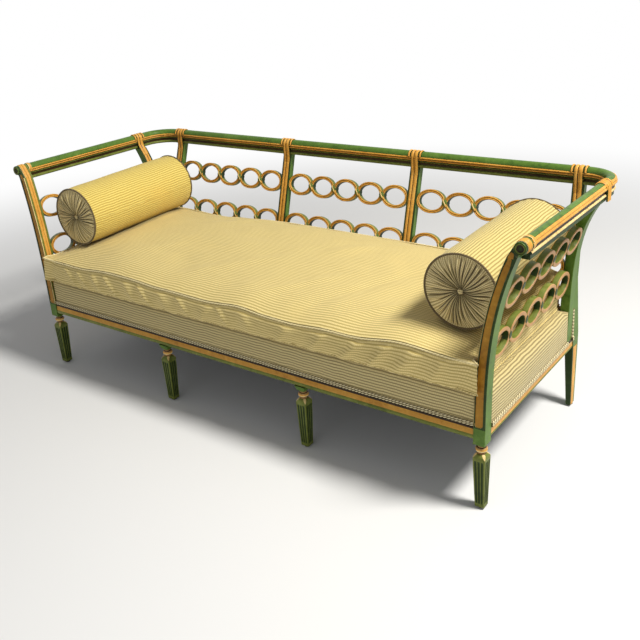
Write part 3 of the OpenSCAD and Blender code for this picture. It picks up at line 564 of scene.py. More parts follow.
def collar():
    """Gold band on the rail behind a scroll."""
    profile = [(16.5, 0.0), (18.4, 0.2), (19.7, 2.4), (20, 6.5), (19.7, 10.6), (18.4, 12.8),
               (16.5, 13.0)]
    return Shape().turned(profile, (ARM_X, POST_LEAN + POST_HALF + 3, ROLL_Z), (0, 1, 0),
                          [L, P, Y, Y, P, L])


def leg_face(half, deep):
    """Place along one leg face and depth there: three round flutes between ridges."""
    out = [(0.035, 0.0)]
    for middle in (0.23, 0.5, 0.77):
        for k in range(6):
            angle = pi * k / 5
            out.append((middle - 0.095 * cos(angle), deep * sin(angle)))
    return out + [(0.965, 0.0)]


def front_leg():
    """Square tapered leg: three flutes a face, lamb's tongue corners and a turned neck."""
    shape = Shape()
    zs = [6, 8, 14, 17, 20, 26] + [40 + 12 * k for k in range(9)] + [146, 150, 153, 156, 160, 165]
    rows = []
    for z in zs:
        half = (28 + (z - 6) / 159 * 10) / 2
        deep = 2.4 * smooth((z - 12) / 12) * smooth((158 - z) / 8)
        row = []
        for k in range(4):
            a, b = SQUARE[k], SQUARE[(k + 1) % 4]
            normal = Vector((a[0] + b[0], a[1] + b[1])).normalized()
            for t, drop in leg_face(half, deep):
                p = (1 - t) * Vector(a) * half + t * Vector(b) * half - normal * drop
                row.append((p.x, p.y, z))
        rows.append(row)
    # flutes in the deep green of painted shade between olive ridges
    kinds = ([O] + ([D] * 5 + [O]) * 3 + [O]) * 4
    shape.loft(rows, lambda i, j: kinds[j] if 17 <= zs[i] < 156 else O, ends=(D, O))
    rows = []
    for half, corner, z in ((19, 1.0, 165), (18.2, 4.5, 170), (15.5, 6.5, 175), (11.5, 4.8, 178)):
        row = []
        for sx, sy in SQUARE:
            cut = [(sx * half, sy * (half - corner), z), (sx * (half - corner), sy * half, z)]
            row += cut if sx * sy > 0 else cut[::-1]
        rows.append(row)
    shape.loft(rows, [P, O] * 4, ends=(O, L))
    profile = [(10.5, 177), (12, 178), (11, 180), (10.6, 182), (13, 183.5), (16.2, 186), (17.3, 190),
               (16.8, 194), (14, 197), (11, 198.6), (10.8, 201), (13, 203), (13.4, 205), (12, 206.5)]
    return shape.turned(profile, (0, 0, 0), (0, 0, 1), [L, R, L, R, Y, P, Y, R, L, R, L, O, O],
                        sides=36, ends=(L, L))


def leg_block():
    rows = [[(sx * half, sy * half, z) for sx, sy in SQUARE]
            for half, z in ((13.5, 205.6), (14.6, 207), (19.6, 221), (20, 222.4))]
    return Shape().loft(rows, G, ends=(D, G))


for side, tag in SIDES:
    build("post_front_" + tag, front_post().on(side), WOOD, "green_paint",
          nodes=["front_post_" + tag], bevel=0.5)
    for x, name in ((LEG_X, "outer_"), (INNER_X, "inner_")):
        build("leg_front_" + name + tag,
              Shape().join(front_leg(), Matrix.Translation((side * x, 0, 0))), WOOD,
              "green_paint", nodes=["front_leg_" + name + tag], bevel=0.4)
    build("leg_pyramid_" + tag,
          Shape().join(leg_block(), Matrix.Translation((side * INNER_X, 0, 0))), WOOD,
          "green_paint", nodes=["leg_block_" + tag], bevel=0.6)
for name, half, slot, node in (("scroll_eye_turnings", scroll_eye(), "green_paint", "scroll_eyes"),
                               ("scroll_collars", collar(), "gold_paint", "arm_rail_collars")):
    build(name, Shape().join(half).join(half.mirrored()), WOOD, slot, nodes=[node])


# ---------------------------------------------------------------- seat rails
# sections: (distance behind the face, height), from the inside top edge round to the foot
FRONT_RAIL = [(30, 260), (1.6, 260), (0.2, 258.6), (0, 255.4), (1.0, 254.8), (0.6, 254), (0, 253),
              (0, 236.8), (0.8, 236.0), (0.3, 235.0), (-0.6, 233.8), (-0.8, 231.6), (-0.8, 227.2),
              (-0.4, 224.8), (0.8, 223.2), (2.6, 222.3), (8, 222), (30, 222)]
# the dark line colour from the rail's top down its face, under the welts, is a painted shadow, and
# the bronze of its gold band is gold darkened as painted shade
FRONT_SLOTS = [L, L, L, L, L, Y, B, B, O, O, O, O, O, O, O, O, G, D]
# the side rails have a tall gold band under the welts and a thin green bead
SIDE_RAIL = ([(30, 260), (1.6, 260), (0.2, 258.6), (0.6, 250.0), (0.4, 248.8), (-0.4, 248.2),
              (-0.4, 246.2), (0, 245.6), (0, 230.4), (0.8, 229.6), (1.8, 229.0)]
             + [(3.6 + 3.6 * cos(a), 225.6 + 3.5 * sin(a))
                for a in (radians(100 + 160 * k / 6) for k in range(7))] + [(8, 222), (30, 222)])
# the dark line colour just under the welts is a painted shadow
SIDE_SLOTS = [D, D, L, L, P, P, Y, Y, L, L, L] + [O] * 7 + [G, D]
RAIL_STEPS = 24

for tag, a, b, inward, points, slots, slot in (
        ("front", (-901, -16), (901, -16), (0, 1), FRONT_RAIL, FRONT_SLOTS, "gold_paint"),
        ("back", (897, 674), (-897, 674), (0, -1), FRONT_RAIL, FRONT_SLOTS, "green_paint"),
        ("right", (935, 20), (935, 644), (-1, 0), SIDE_RAIL, SIDE_SLOTS, "gold_paint"),
        ("left", (-935, 644), (-935, 20), (1, 0), SIDE_RAIL, SIDE_SLOTS, "gold_paint")):
    rows = []
    for i in range(RAIL_STEPS + 1):
        p = Vector(a) + (Vector(b) - Vector(a)) * i / RAIL_STEPS
        rows.append([(p.x + inward[0] * d, p.y + inward[1] * d, z) for d, z in points])
    build("rail_" + tag, Shape().loft(rows, slots, ends=(D, D)), WOOD, slot,
          nodes=["seat_rail_" + tag], bevel=0.3)


# ---------------------------------------------------------------- uprights and rear posts
def upright(middle, low_d):
    """Raked upright; middle(z) gives its centre in x, low_d its depth below the rake."""
    deep_z = RAKE_Z + (low_d - UPRIGHT_T) / RAKE_SLOPE
    stations = []
    for z in sorted({RAIL_TOP, 300, 340, RAKE_Z - 8, RAKE_Z, RAKE_Z + 8, deep_z, POST_TOP,
                     *range(480, 721, 40)}):
        front, x = rake_front(z), middle(z)
        back = max(front + UPRIGHT_T, REAR_FRONT + low_d) if z < deep_z else front + UPRIGHT_T
        stations.append((oblong(x - UPRIGHT_HALF, x + UPRIGHT_HALF, front, back), z))
    return column(Shape(), stations, [STRIP, FLAT_GREEN, FLAT_GREEN, FLAT_GREEN])


def rear_post():
    """Raked upright, seat block and leg of a rear corner."""
    shape = upright(end_x, SEAT_BACK - REAR_FRONT)
    block = oblong(SEAT_X - 40, SEAT_X, REAR_FRONT, SEAT_BACK)
    # the block's front and inner faces are the deep green of painted shade
    column(shape, [(block, z) for z in (222, 224, 240, 256, 260.4)],
           [FLAT_SHADE_GREEN, FLAT_GREEN, FLAT_GREEN, FLAT_SHADE_GREEN], (D, G))
    leg = []
    for z in (6, 40, 80, 120, 160, 200, 214, 222):
        grow = 12 * ((z - 6) / 216)
        leg.append((oblong(SEAT_X - 16 - grow, SEAT_X, REAR_FRONT, SEAT_BACK - 12 + grow), z))
    panel = [(5, D), (1, L), (30, Y, 0.8), (1, L), (9, G)]
    # the leg's front face and the front margin of its outer panel are the deep green of painted
    # shade
    return column(shape, leg, [FLAT_SHADE_GREEN, panel, FLAT_GREEN, FLAT_GREEN])


def arm_post():
    inside = [(6, D), (1, L), (10, Y, 1.8), (3, L, -0.6), (13, Y, 2.0), (1, L), (6, D)]
    stations = []
    for k in range(24):
        z = RAIL_TOP + (746.6 - RAIL_TOP) * k / 23
        x, half = POST_X + arm_post_flare(z), ARM_POST_W / 2
        stations.append((oblong(x - half, x + half, ARM_POST_Y0, ARM_POST_Y1), z))
    return column(Shape(), stations, [FLAT_GREEN, FLAT_GREEN, FLAT_GREEN, inside])


for side, tag in SIDES:
    build("upright_" + tag, upright(lambda z: side * UPRIGHT_X, 30.0), WOOD, "green_paint",
          nodes=["back_upright_" + tag], bevel=0.4)
    for shape, name in ((rear_post(), "rear"), (arm_post(), "arm")):
        build("post_%s_%s" % (name, tag), shape.on(side), WOOD, "green_paint",
              nodes=["%s_post_%s" % (name, tag)], bevel=0.4)


# ---------------------------------------------------------------- top rail
def inner_half():
    """Rail section on the room side: foot bead, web, olive reed, two gold reeds, green roll."""
    half = [((0.0, 0.0), O)] + [(p, O) for p in arc((10.5, 5.5), 5.5, -90, 78, 8)]
    half += [((11.0, 11.4), L), ((11.0, 20.0), L)]
    half += [((11.4 + 3.4 * hump(k / 5), 20.6 + k), O) for k in range(5)] + [((12.6, 25.8), L)]
    half += [((13.4 + 4.6 * hump(k / 6), 26.8 + 1.05 * k), Y) for k in range(6)]
    half += [((14.8, 33.4), B), ((15.0, 34.2), B)]
    half += [((15.4 + 4.0 * hump(k / 6), 34.6 + k), Y) for k in range(6)] + [((16.4, 40.8), L)]
    return half + [(p, G) for p in arc((0, ROLL_UP), ROLL_R, 2, 90, 11)]


def outer_half():
    """Outer face of an arm: set-back foot in the deep green of painted shade, bead in pale gold as a
    painted highlight, dark web, two gold reeds on the roll.
    """
    half = [((0.0, 0.0), D), ((9.0, 0.0), D), ((9.8, 1.0), D), ((9.8, 13.6), D)]
    half += [(p, P) for p in arc((10.6, 18.4), 3.9, -78, 80, 8)]
    half += [((11.0, 23.4), L), ((11.2, 33.0), L)]
    for start, reach in ((-16, 30), (19, 28)):
        for k in range(7):
            angle = radians(start + reach * k / 6)
            far = ROLL_R + 0.1 + 1.7 * hump(k / 6)
            half.append(((far * cos(angle), ROLL_UP + far * sin(angle)), Y if k < 6 else C))
    half.append((arc((0, ROLL_UP), ROLL_R, 48.5, 90, 1)[0], L))
    return half + [(p, G) for p in arc((0, ROLL_UP), ROLL_R, 50, 90, 6)]


def rail_piece(name, node, stations, outside=inner_half):
    """Each station is a point of the rail's line and the outward direction there."""
    right, left = outside(), inner_half()
    points = [p for p, _ in right] + [(-x, y) for (x, y), _ in left[-2:0:-1]]
    slots = [slot for _, slot in right[:-1]] + [slot for _, slot in left[:-1][::-1]]
    rows = [[(x + a * ox, y + a * oy, TOP_RAIL_Z + b) for a, b in points]
            for x, y, ox, oy in stations]
    build(name, Shape().loft(rows, slots, ends=(D, D)), WOOD, "green_paint", nodes=[node])


rail_piece("rail_top_back", "top_rail_back",
           [(-CORNER_X + 2 * CORNER_X * k / 60, LINE_Y, 0, 1) for k in range(61)])
for side, tag in SIDES:
    rail_piece("rail_top_arm_" + tag, "arm_rail_" + tag,
               [(side * ARM_X, 37 + (CORNER_Y - 37) * k / 24, side, 0) for k in range(25)],
               outer_half)
    bend = [(side * c, s) for c, s in arc((0, 0), 1, 0, 90, 24)]
    rail_piece("rail_top_corner_" + tag, "top_rail_corner_" + tag,
               [(side * CORNER_X + CORNER_R * ox, CORNER_Y + CORNER_R * oy, ox, oy)
                for ox, oy in bend], outer_half)


def strap(path, width, spec, depth):
    """Strap over a rail: rows in (a, b, w) along a path in (a, b), and its slots."""
    rows, half = [], width / 2
    dress = band(spec, width)
    for i, (a, b) in enumerate(path):
        before, after = path[max(0, i - 1)], path[min(len(path) - 1, i + 1)]
        step = Vector((after[0] - before[0], after[1] - before[1])).normalized()
        na, nb = -step.y, step.x
        low = (a - na * depth, b - nb * depth)
        rows.append([(a + na * h, b + nb * h, w - half) for w, h, _ in dress]
                    + [(a, b, half), (*low, half), (*low, -half)])
    return rows, [slot for _, _, slot in dress] + [spec[-1][1], D, spec[0][1]]


TIE = [(2.4, D), (10.6, Y, 2.2), (3, L, -1.0), (13.6, Y, 2.4), (2.4, D)]
SIDE_TIE = [(1, L, -0.6), (7, Y, 2.4), (1, L, -0.6)]


def tie(shape, centre, along, outward, foot):
    """Straps over the rail; foot is the line on which the main strap runs on down the post."""
    over = arc((0, ROLL_UP), COVER_R, 180, 0, 24)
    full = foot + [(-COVER_R, 34)] + over + [(COVER_R, z) for z in (34, 20, 0.2)]
    for path, width, shift, spec, depth in ((full, 32, 0, TIE, 5.0),
                                            (over, 9, 22.5, SIDE_TIE, 3.0),
                                            (over, 9, -22.5, SIDE_TIE, 3.0)):
        rows, slots = strap(path, width, spec, depth)
        placed = [[tuple(Vector(centre) + Vector(outward) * a + Vector(along) * (w + shift)
                         + Vector((0, 0, b))) for a, b, w in row] for row in rows]
        shape.loft(placed, slots, ends=(D, D))


BACK_FOOT = [(-20.3, -26), (-19.4, -19), (-18.9, -8), (-18.8, 8), (-18.8, 22)]
ARM_FOOT = [(POST_X + arm_post_flare(TOP_RAIL_Z - d) - ARM_POST_W / 2 - ARM_X - 0.4, -d)
            for d in (26, 17, 8, 1)] + [(-24.6, 7), (-20.6, 15), (-19.0, 24)]
ties = Shape()
for x in (-end_x(TOP_RAIL_Z), -UPRIGHT_X, UPRIGHT_X, end_x(TOP_RAIL_Z)):
    tie(ties, (x, LINE_Y, TOP_RAIL_Z), (1, 0, 0), (0, 1, 0), BACK_FOOT)
build("ties_back", ties, WOOD, "gold_paint", nodes=["back_rail_ties"])
ties = Shape()
for side, _ in SIDES:
    tie(ties, (side * ARM_X, 612, TOP_RAIL_Z), (0, 1, 0), (side, 0, 0), ARM_FOOT)
build("ties_arms", ties, WOOD, "gold_paint", nodes=["arm_rail_ties"])


# ---------------------------------------------------------------- ring galleries
def ring_section(plain_face):
    """(radial, depth) points and slots: gold reeds on the faces, green walls."""
    reeds, reed_slots = [(-6, 8.6)], [C]
    for q0 in (-5.4, 0.9):
        reeds += [(q0 + 4.5 * k / 4, 9.0 + 2.0 * hump(k / 4)) for k in range(5)]
        reed_slots += [Y] * 4 + [C]
    flat = [(-6, 9.2), (-5.2, 10.6), (-2, 11.0), (2, 11.0), (5.2, 10.6)]
    points, slots = (flat, [R] * 5) if plain_face else (reeds, reed_slots)
    back = [(q, -p) for q, p in (reeds + [(6, 8.6)])[::-1]]
    return points + [(6, 8.6)] + back, slots + [O] + reed_slots[::-1] + [O]


def one_ring(pitch, plain_face):
    """Smooth oval whose ends just cross those of its neighbours."""
    points, slots = ring_section(plain_face)
    reach, inside = pitch / 2 - 4.4, len(points) - 1
    rows = [[((reach + q) * c, (37 + q) * s, p) for q, p in points] for c, s in circle(64)]
    # the inner wall is deep green round its top and sides and lighter olive along its bottom:
    # painted shade above, painted light below
    return Shape().loft(rows, lambda i, j: slots[j] if j < inside else (
        D if i < 37 or i > 59 else O), loop=True)


def oval_dome(shape, width, length, base, rise, turn, face, kinds):
    """Domed oval; turn leans its long axis away from upright."""
    rows, steps, c, s = [], len(kinds), cos(turn), sin(turn)
    for i in range(steps + 1):
        t = i / steps
        grow = cos(t * pi / 2) ** 0.8 if t < 1 else 0.02
        z = face * (base + rise * sin(t * pi / 2))
        oval = [(width * grow * a, length * grow * b) for a, b in circle(28)]
        rows.append([(a * c - b * s, a * s + b * c, z) for a, b in oval])
    shape.loft(rows, lambda i, j: kinds[i], ends=(D, kinds[-1]))


def knuckle(plain_face):
    """Waisted block between two rings, with a boss and the strand that crosses over it."""
    shape = Shape()
    rows = []
    for p, grow in ((-12.2, 0.8), (-10, 1.0), (10, 1.0), (12.2, 0.8)):
        rows.append([((9.0 + 4.0 * s * s) * grow * c, (9.0 + 4.0 * s * s) * grow * s, p)
                     for c, s in circle(24)])
    shape.loft(rows, D, ends=(D, D))
    for face in ((-1,) if plain_face else (1, -1)):
        oval_dome(shape, 11.0, 12.5, 9.6, 4.6, 0.0, face, [D, O, O, G, G])
        # the strand's pale crest is a painted highlight
        oval_dome(shape, 4.2, 21.0, 9.4, 5.8, 0.56, face, [C, O, Y, P, P])
    if plain_face:
        oval_dome(shape, 7.0, 9.0, 10.0, 1.6, 0.0, 1, [O, R, R, R])
        oval_dome(shape, 2.0, 2.4, 11.3, 0.6, 0.0, 1, [L, L])
    return shape


def ring_run(run, plain_face=False):
    shape, pitch = Shape(), run / RINGS
    ring, boss = one_ring(pitch, plain_face), knuckle(plain_face)
    for i in range(RINGS):
        shape.join(ring, Matrix.Translation(((i + 0.5) * pitch - run / 2, 0, 0)))
    for i in range(1, RINGS):
        shape.join(boss, Matrix.Translation((i * pitch - run / 2, 0, 0)))
    return shape


RAKE = atan(RAKE_SLOPE)
for row, z, offset in (("upper", 634.0, 4), ("lower", 483.0, -4.5)):
    reach = end_x(z) - 20 / cos(LEAN) - RING_H / 2 * sin(LEAN)
    for tag, x0, x1 in (("left", -reach, -314), ("middle", -274, 274), ("right", 314, reach)):
        matrix = (Matrix.Translation(((x0 + x1) / 2, rake_front(z) + UPRIGHT_T / 2, z))
                  @ Matrix.Rotation(pi / 2 - RAKE, 4, "X"))
        build("rings_back_%s_%s" % (row, tag),
              Shape().join(ring_run(x1 - x0 - 2 * RING_CLEAR), matrix), WOOD, "gold_paint",
              nodes=["back_rings_%s_%s" % (row, tag)])
    front_y = 20 + post_lean(z)
    run = ARM_POST_Y0 - front_y - 2 * RING_CLEAR
    front_x = POST_X + flare(z) + offset
    rear_x = POST_X + arm_post_flare(z) + offset
    t = arm_t(z)
    lean = atan(POST_FLARE * (STRAIGHT + 3 * (1 - STRAIGHT) * t * t) / (ROLL_Z - RAIL_Z))
    matrix = (Matrix.Translation(((front_x + rear_x) / 2, (ARM_POST_Y0 + front_y) / 2, z))
              @ Matrix.Rotation(atan((front_x - rear_x) / run), 4, "Z")
              @ Matrix.Rotation(lean, 4, "Y") @ Matrix.Rotation(pi / 2, 4, "Z")
              @ Matrix.Rotation(pi / 2, 4, "X"))
    for side, tag in SIDES:
        build("rings_arm_%s_%s" % (row, tag), Shape().join(ring_run(run, True), matrix).on(side),
              WOOD, "gold_paint", nodes=["arm_rings_%s_%s" % (row, tag)])


# ---------------------------------------------------------------- deck
def deck_plan():
    """Outline round the posts: x, y, outward direction, swell and softness of each point."""
    x_out, x_in, y0, y1 = 935.0, 900.6, -12.0, 643.6
    post, arm0, arm1 = 20.4, 591.6, 632.4
    corners = [(-x_in, y0, 150, (0, -1), 3.0), (x_in, y0, 3, (1, 0), 0),
               (x_in, post, 3, (0, -1), 0), (x_out, post, 50, (1, 0), 9.0),
               (x_out, arm0, 3, (0, 1), 0), (x_in, arm0, 3, (1, 0), 0),
               (x_in, arm1, 3, (0, -1), 0), (x_out, arm1, 2, (1, 0), 0),
               (x_out, y1, 40, (0, 1), 1.5), (-x_out, y1, 2, (-1, 0), 0),
               (-x_out, arm1, 3, (0, -1), 0), (-x_in, arm1, 3, (-1, 0), 0),
               (-x_in, arm0, 3, (0, 1), 0), (-x_out, arm0, 50, (-1, 0), 9.0),
               (-x_out, post, 3, (0, -1), 0), (-x_in, post, 3, (-1, 0), 0)]
    plan = []
    for (ax, ay, steps, out, weight), (bx, by, *_) in zip(corners, corners[1:] + corners[:1]):
        for t in (k / steps for k in range(steps)):
            plan.append((ax + (bx - ax) * t, ay + (by - ay) * t, *out, weight * hump(t, 0.6),
                         1.0 if weight else 0.0))
    return plan


def deck():
    shape, plan = Shape(), deck_plan()
    levels = [(0.0, 260.2)] + [(0.0, RAIL_TOP + 7 * k) for k in range(1, 13)]
    levels += [(24 * (1 - cos(radians(a))), DECK_TOP - 24 * (1 - sin(radians(a))))
               for a in (15, 35, 55, 75, 90)]
    rows, heights = [], [0.0]
    for before, (inset, z) in zip([levels[0]] + levels, levels):
        row, t = [], (z - RAIL_TOP) / DECK_H
        for x, y, ox, oy, bulge, soft in plan:
            out = bulge * hump(min(1.0, t * 1.02))
            wave = drift(x * 0.006, y * 0.006, z * 0.02) * 1.6 * soft
            fold = drift(x * 0.03, y * 0.03, z * 0.006 + 9) * 0.8 * soft
            step = out + (wave + fold) * sin(pi * t) - inset * soft
            row.append((x + ox * step, y + oy * step, z))
        rows.append(row)
        heights.append(heights[-1] + hypot(inset - before[0], z - before[1]))
    lengths = [0.0]
    for a, b in zip(plan, plan[1:] + plan[:1]):
        lengths.append(lengths[-1] + hypot(b[0] - a[0], b[1] - a[1]))
    shape.loft(rows, 0, weave=lambda i, j: (lengths[j] / 1000, heights[i + 1] / 1000))
    # flat top: rings that shrink towards the middle, so that no long sliver is left
    first, count, mid_y = len(shape.faces), len(plan), 316
    shape.loft([[(x * s, mid_y + (y - mid_y) * s, DECK_TOP + (1 - s) * 0.1) for x, y, _ in rows[-1]]
                for s in (1.0, 0.9, 0.6, 0.3, 0.05)], 0)
    hub = len(shape.points)
    shape.points.append((0, mid_y, DECK_TOP + 0.1))
    for j in range(count):
        shape.add([hub - count + j, hub - count + (j + 1) % count, hub], 0)
    shape.lay_cloth(first)
    return shape


piece = build("deck_cover", deck(), [CLOTH_DECK], "cover_cloth", nodes=["deck_pad"], sharp=60)


def welt_pair(path_of, shape, radius=3.4):
    for k in (0, 1):
        shape.tube(path_of(k), radius, 0)


welts = Shape()
welt_pair(lambda k: [(-900 + 1800 * i / 90, -15.2 + 0.3 * sin(i * 1.7), 265.4 + 6.6 * k)
                     for i in range(91)], welts, radius=2.9)
piece = build("welt_front", welts, [PIPING], "cover_cloth", nodes=["deck_gimp_front"], sharp=70)
welts = Shape()
for side, _ in SIDES:
    for y0, y1 in ((20.5, 591.5), (632.5, 643.5)):
        steps = max(4, int((y1 - y0) / 14))
        welt_pair(lambda k: [(side * (938.4 + 0.3 * sin(i)), y0 + (y1 - y0) * i / steps,
                              262.4 - 7 * k) for i in range(steps + 1)], welts)
    # short upright welts beside the rear posts
    welt_pair(lambda k: [(side * (936.5 - 0.5 * i / 8), 636.0 + 5.2 * k, 262 + 102 * i / 8)
                         for i in range(9)], welts, radius=2.4)
piece = build("welt_sides", welts, [PIPING], "cover_cloth", nodes=["deck_gimp_sides"], sharp=70)


# ---------------------------------------------------------------- loose seat cushion
# (x, y) to (x, y), width and height of the soft ridges and hollows on top
CREASES = [(-250, 60, 60, 330, 26, 3.4), (90, 20, 330, 260, 22, 3.2), (300, 10, 520, 330, 24, -3.0),
           (420, 0, 700, 210, 20, 3.6), (-620, 40, -420, 260, 26, 2.6),
           (150, 380, 420, 560, 26, 3.0), (-480, 420, -250, 590, 24, 2.8),
           (560, 380, 700, 560, 22, -2.6), (-60, 250, 180, 420, 30, -2.6),
           (600, 30, 800, 120, 18, 3.4)]
# centre, width and height of the humps of the front edge
FRONT_HUMPS = [(-480, 190, 12), (-240, 80, 4), (95, 80, 11), (285, 70, -4), (700, 130, 20)]
# place, width, slant and depth of the folds of the front border
FOLDS = [(700, 52, -0.9, 13.0), (610, 32, -0.8, 12.0), (520, 38, -1.0, 12.0), (400, 34, -0.6, 9.0),
         (270, 44, -0.7, 9.0), (120, 52, 0.5, 7.0), (20, 26, 0.8, 8.0), (-60, 44, -0.6, 8.0),
         (-160, 24, 0.9, 9.0), (-250, 50, 0.7, 8.0), (-345, 24, 0.9, 10.0), (-420, 40, 0.7, 9.0),
         (-520, 26, 1.0, 10.0), (-600, 38, 0.7, 10.0), (-680, 24, 1.1, 9.0), (-750, 30, 0.9, 9.0),
         (800, 28, -0.5, 9.0)]
# steps of the cover across, front to back, and down its border
NU, NV, NB = 180, 66, 24


def top_z(u, v):
    rise = CUSHION_RISE * (1 + v) / 2 * (1 - 0.25 * abs(u) ** 4)
    return (CUSHION_SEAM + rise + CUSHION_CROWN * (1 - abs(u) ** 8) * (1 - abs(v) ** 4)
            - 12 * (1 - v) / 2 * (1 - u * u))


def cushion_y(v):
    return (CUSHION_Y0 + CUSHION_Y1) / 2 + v * (CUSHION_Y1 - CUSHION_Y0) / 2


def side_swell(s):
    return 7 * (1 - abs(s) ** 4)


def bump_at(x, y, cx, cy, wx, wy, height):
    return height * bell(x - cx, wx) * bell(y - cy, wy)


def crease(x, y, ax, ay, bx, by, width, height):
    """Soft ridge along the line from a to b, fading at its ends."""
    run = Vector((bx - ax, by - ay))
    length = run.length
    run.normalize()
    off = Vector((x - ax, y - ay))
    t, d = off.dot(run) / length, run.x * off.y - run.y * off.x
    return height * smooth((t + 0.2) / 0.4) * smooth((1.2 - t) / 0.4) * bell(d, width)


def front_wave(x):
    """Height of the front edge against its even line."""
    wave = sum(h * bell(x - c, w) for c, w, h in FRONT_HUMPS)
    return ((wave + 1.6 * sin(x / 71 + 2.1) + 1.2 * sin(x / 33 + 0.4))
            * (1 - (abs(x) / CUSHION_X) ** 10))


def cushion_top(i, j):
    u, v = 2 * i / NU - 1, 2 * j / NV - 1
    x, y, z = u * CUSHION_X, cushion_y(v), top_z(u, v)
    edge = min(1.0, min(1 - abs(u), 0.08) / 0.08) * min(1.0, (1 - v) / 0.1)
    z += front_wave(x) * smooth((max(0.0, -v) - 0.25) / 0.75)
    soft = drift(x * 0.0032, y * 0.0046, 1.3) * 7 + drift(x * 0.011, y * 0.014, 4.1) * 2.6
    soft += sum(crease(x, y, *line) for line in CREASES)
    soft += bump_at(x, y, -330, 150, 240, 110, -7) + bump_at(x, y, 420, 250, 200, 120, -5)
    z += soft * edge * (0.35 + 0.65 * min(1.0, (1 + v) / 0.3))
    z += bump_at(x, y, -560, 640, 190, 260, -18)
    # corners pulled in and rounded off
    corner = smooth((abs(u) - 0.93) / 0.07) * smooth((abs(v) - 0.8) / 0.2)
    if v > 0:
        return x - copysign(9 * corner, x), y - 7 * corner, z - 6 * corner
    # the front corners swell out over the faces of the posts
    ear = smooth((abs(u) - 0.95) / 0.05) * (1.0 if j == 0 else 0.0)
    z += 9 * corner * (1 if j < 3 else 0.6)
    return x + (21 if x > 0 else 3) * ear, y - 11 * ear, z


def border_point(i, j, s):
    """s runs from 0 at the top seam to 1 at the bottom seam; i, j lie on the rim."""
    u, v = 2 * i / NU - 1, 2 * j / NV - 1
    x, y, z1 = cushion_top(i, j)
    z = z1 + (CUSHION_Z0 - z1) * s
    belly, corner = 4 * s * (1 - s), smooth((abs(u) - 0.95) / 0.05)
    if j == NV:
        y += side_swell(u) * belly
    if j == 0:
        push = sum(depth * bell(x + lean * (z - 412) - place, 0.42 * width)
                   for place, width, lean, depth in FOLDS)
        push += drift((x + 0.8 * z) * 0.03, z * 0.04, 7.2) * 1.8
        y -= side_swell(u) * belly + (push - 1.5) * belly ** 0.7 * (1 - abs(u) ** 12)
        y += 5.0 * bell(s - 0.075, 0.035)
        if x < 0:
            x -= 15 * s * corner
        y = max(y, CUSHION_Y0 - 16.0)
        x += copysign(1.6 * sin(z * 0.675) * abs(u) ** 60, x)
    if i in (0, NU):
        x += (-1 if i == 0 else 1) * side_swell(v) * belly
    if j == 0:
        y = min(y, -24.0 - 11 * corner)
    return x, y, z


def cushion():
    shape = Shape()
    top = [[cushion_top(i, j) for j in range(NV + 1)] for i in range(NU + 1)]

    def cloth_xy(i, j):
        return (2 * i / NU - 1) * CUSHION_X / 1000, cushion_y(2 * j / NV - 1) / 1000

    shape.loft(top, 0, closed=False, weave=cloth_xy)
    bottom = [[(p[0], p[1], CUSHION_Z0) for p in row] for row in top]
    shape.loft(bottom[::-1], 0, closed=False, weave=lambda i, j: cloth_xy(NU - i, j))
    step = CUSHION_X * 2 / NU / 1000
    for rim in ([(i, 0) for i in range(NU + 1)], [(i, NV) for i in range(NU + 1)],
                [(0, j) for j in range(NV + 1)], [(NU, j) for j in range(NV + 1)]):
        shape.loft([[border_point(i, j, s / NB) for s in range(NB + 1)] for i, j in rim], 0,
                   closed=False, weave=lambda i, s: (i * step, s / NB * 0.084))
    return shape


def crumple(piece, frames=18, most=5.0):
    """Blows the cover up a little as cloth, then keeps a capped share of the folds it makes."""
    mesh = piece.data
    before = [v.co.copy() for v in mesh.vertices]
    pins = piece.vertex_groups.new(name="pins")
    low = (CUSHION_Z0 + 3) / 1000
    pins.add([v.index for v in mesh.vertices if v.co.z < low], 1.0, "REPLACE")
    pins.add([v.index for v in mesh.vertices if v.co.z >= low], 0.02, "REPLACE")
    cloth = piece.modifiers.new("cloth", "CLOTH")
    for key, value in (("quality", 4), ("mass", 0.3), ("tension_stiffness", 12),
                       ("compression_stiffness", 12), ("shear_stiffness", 4),
                       ("bending_stiffness", 0.35), ("use_pressure", True),
                       ("uniform_pressure_force", 4.0), ("vertex_group_mass", "pins"),
                       ("shrink_min", -0.035), ("shrink_max", -0.035)):
        setattr(cloth.settings, key, value)
    cloth.settings.effector_weights.gravity = 0.0
    cloth.collision_settings.use_collision = False
    cloth.point_cache.frame_start, cloth.point_cache.frame_end = 1, frames
    scene = bpy.context.scene
    for frame_number in range(1, frames + 1):
        scene.frame_set(frame_number)
    shaped = piece.evaluated_get(bpy.context.evaluated_depsgraph_get())
    moved = [v.co.copy() for v in shaped.data.vertices[:len(before)]]
    piece.modifiers.remove(cloth)
    piece.vertex_groups.remove(pins)
    scene.frame_set(1)
    for vertex, old, new in zip(mesh.vertices, before, moved):
        step = new - old
        cap = most / 1000 * smooth((CUSHION_X - 8 - abs(old.x) * 1000) / 60)
        if step.length > cap:
            step *= cap / max(step.length, 0.000001)
        vertex.co = old + step
    mesh.update()


def rim_path(s, out):
    rim = [(i, 0) for i in range(NU)] + [(NU, j) for j in range(NV)]
    rim += [(i, NV) for i in range(NU, 0, -1)] + [(0, j) for j in range(NV, 0, -1)]
    path = []
    for x, y, z in (border_point(i, j, s) for i, j in rim):
        dx = out * (1 if x > CUSHION_X - 12 else (-1 if x < 12 - CUSHION_X else 0))
        dy = out * (-1 if y < CUSHION_Y0 + 12 else (1 if y > CUSHION_Y1 - 12 else 0))
        path.append((x + dx, y + dy, z))
    return path


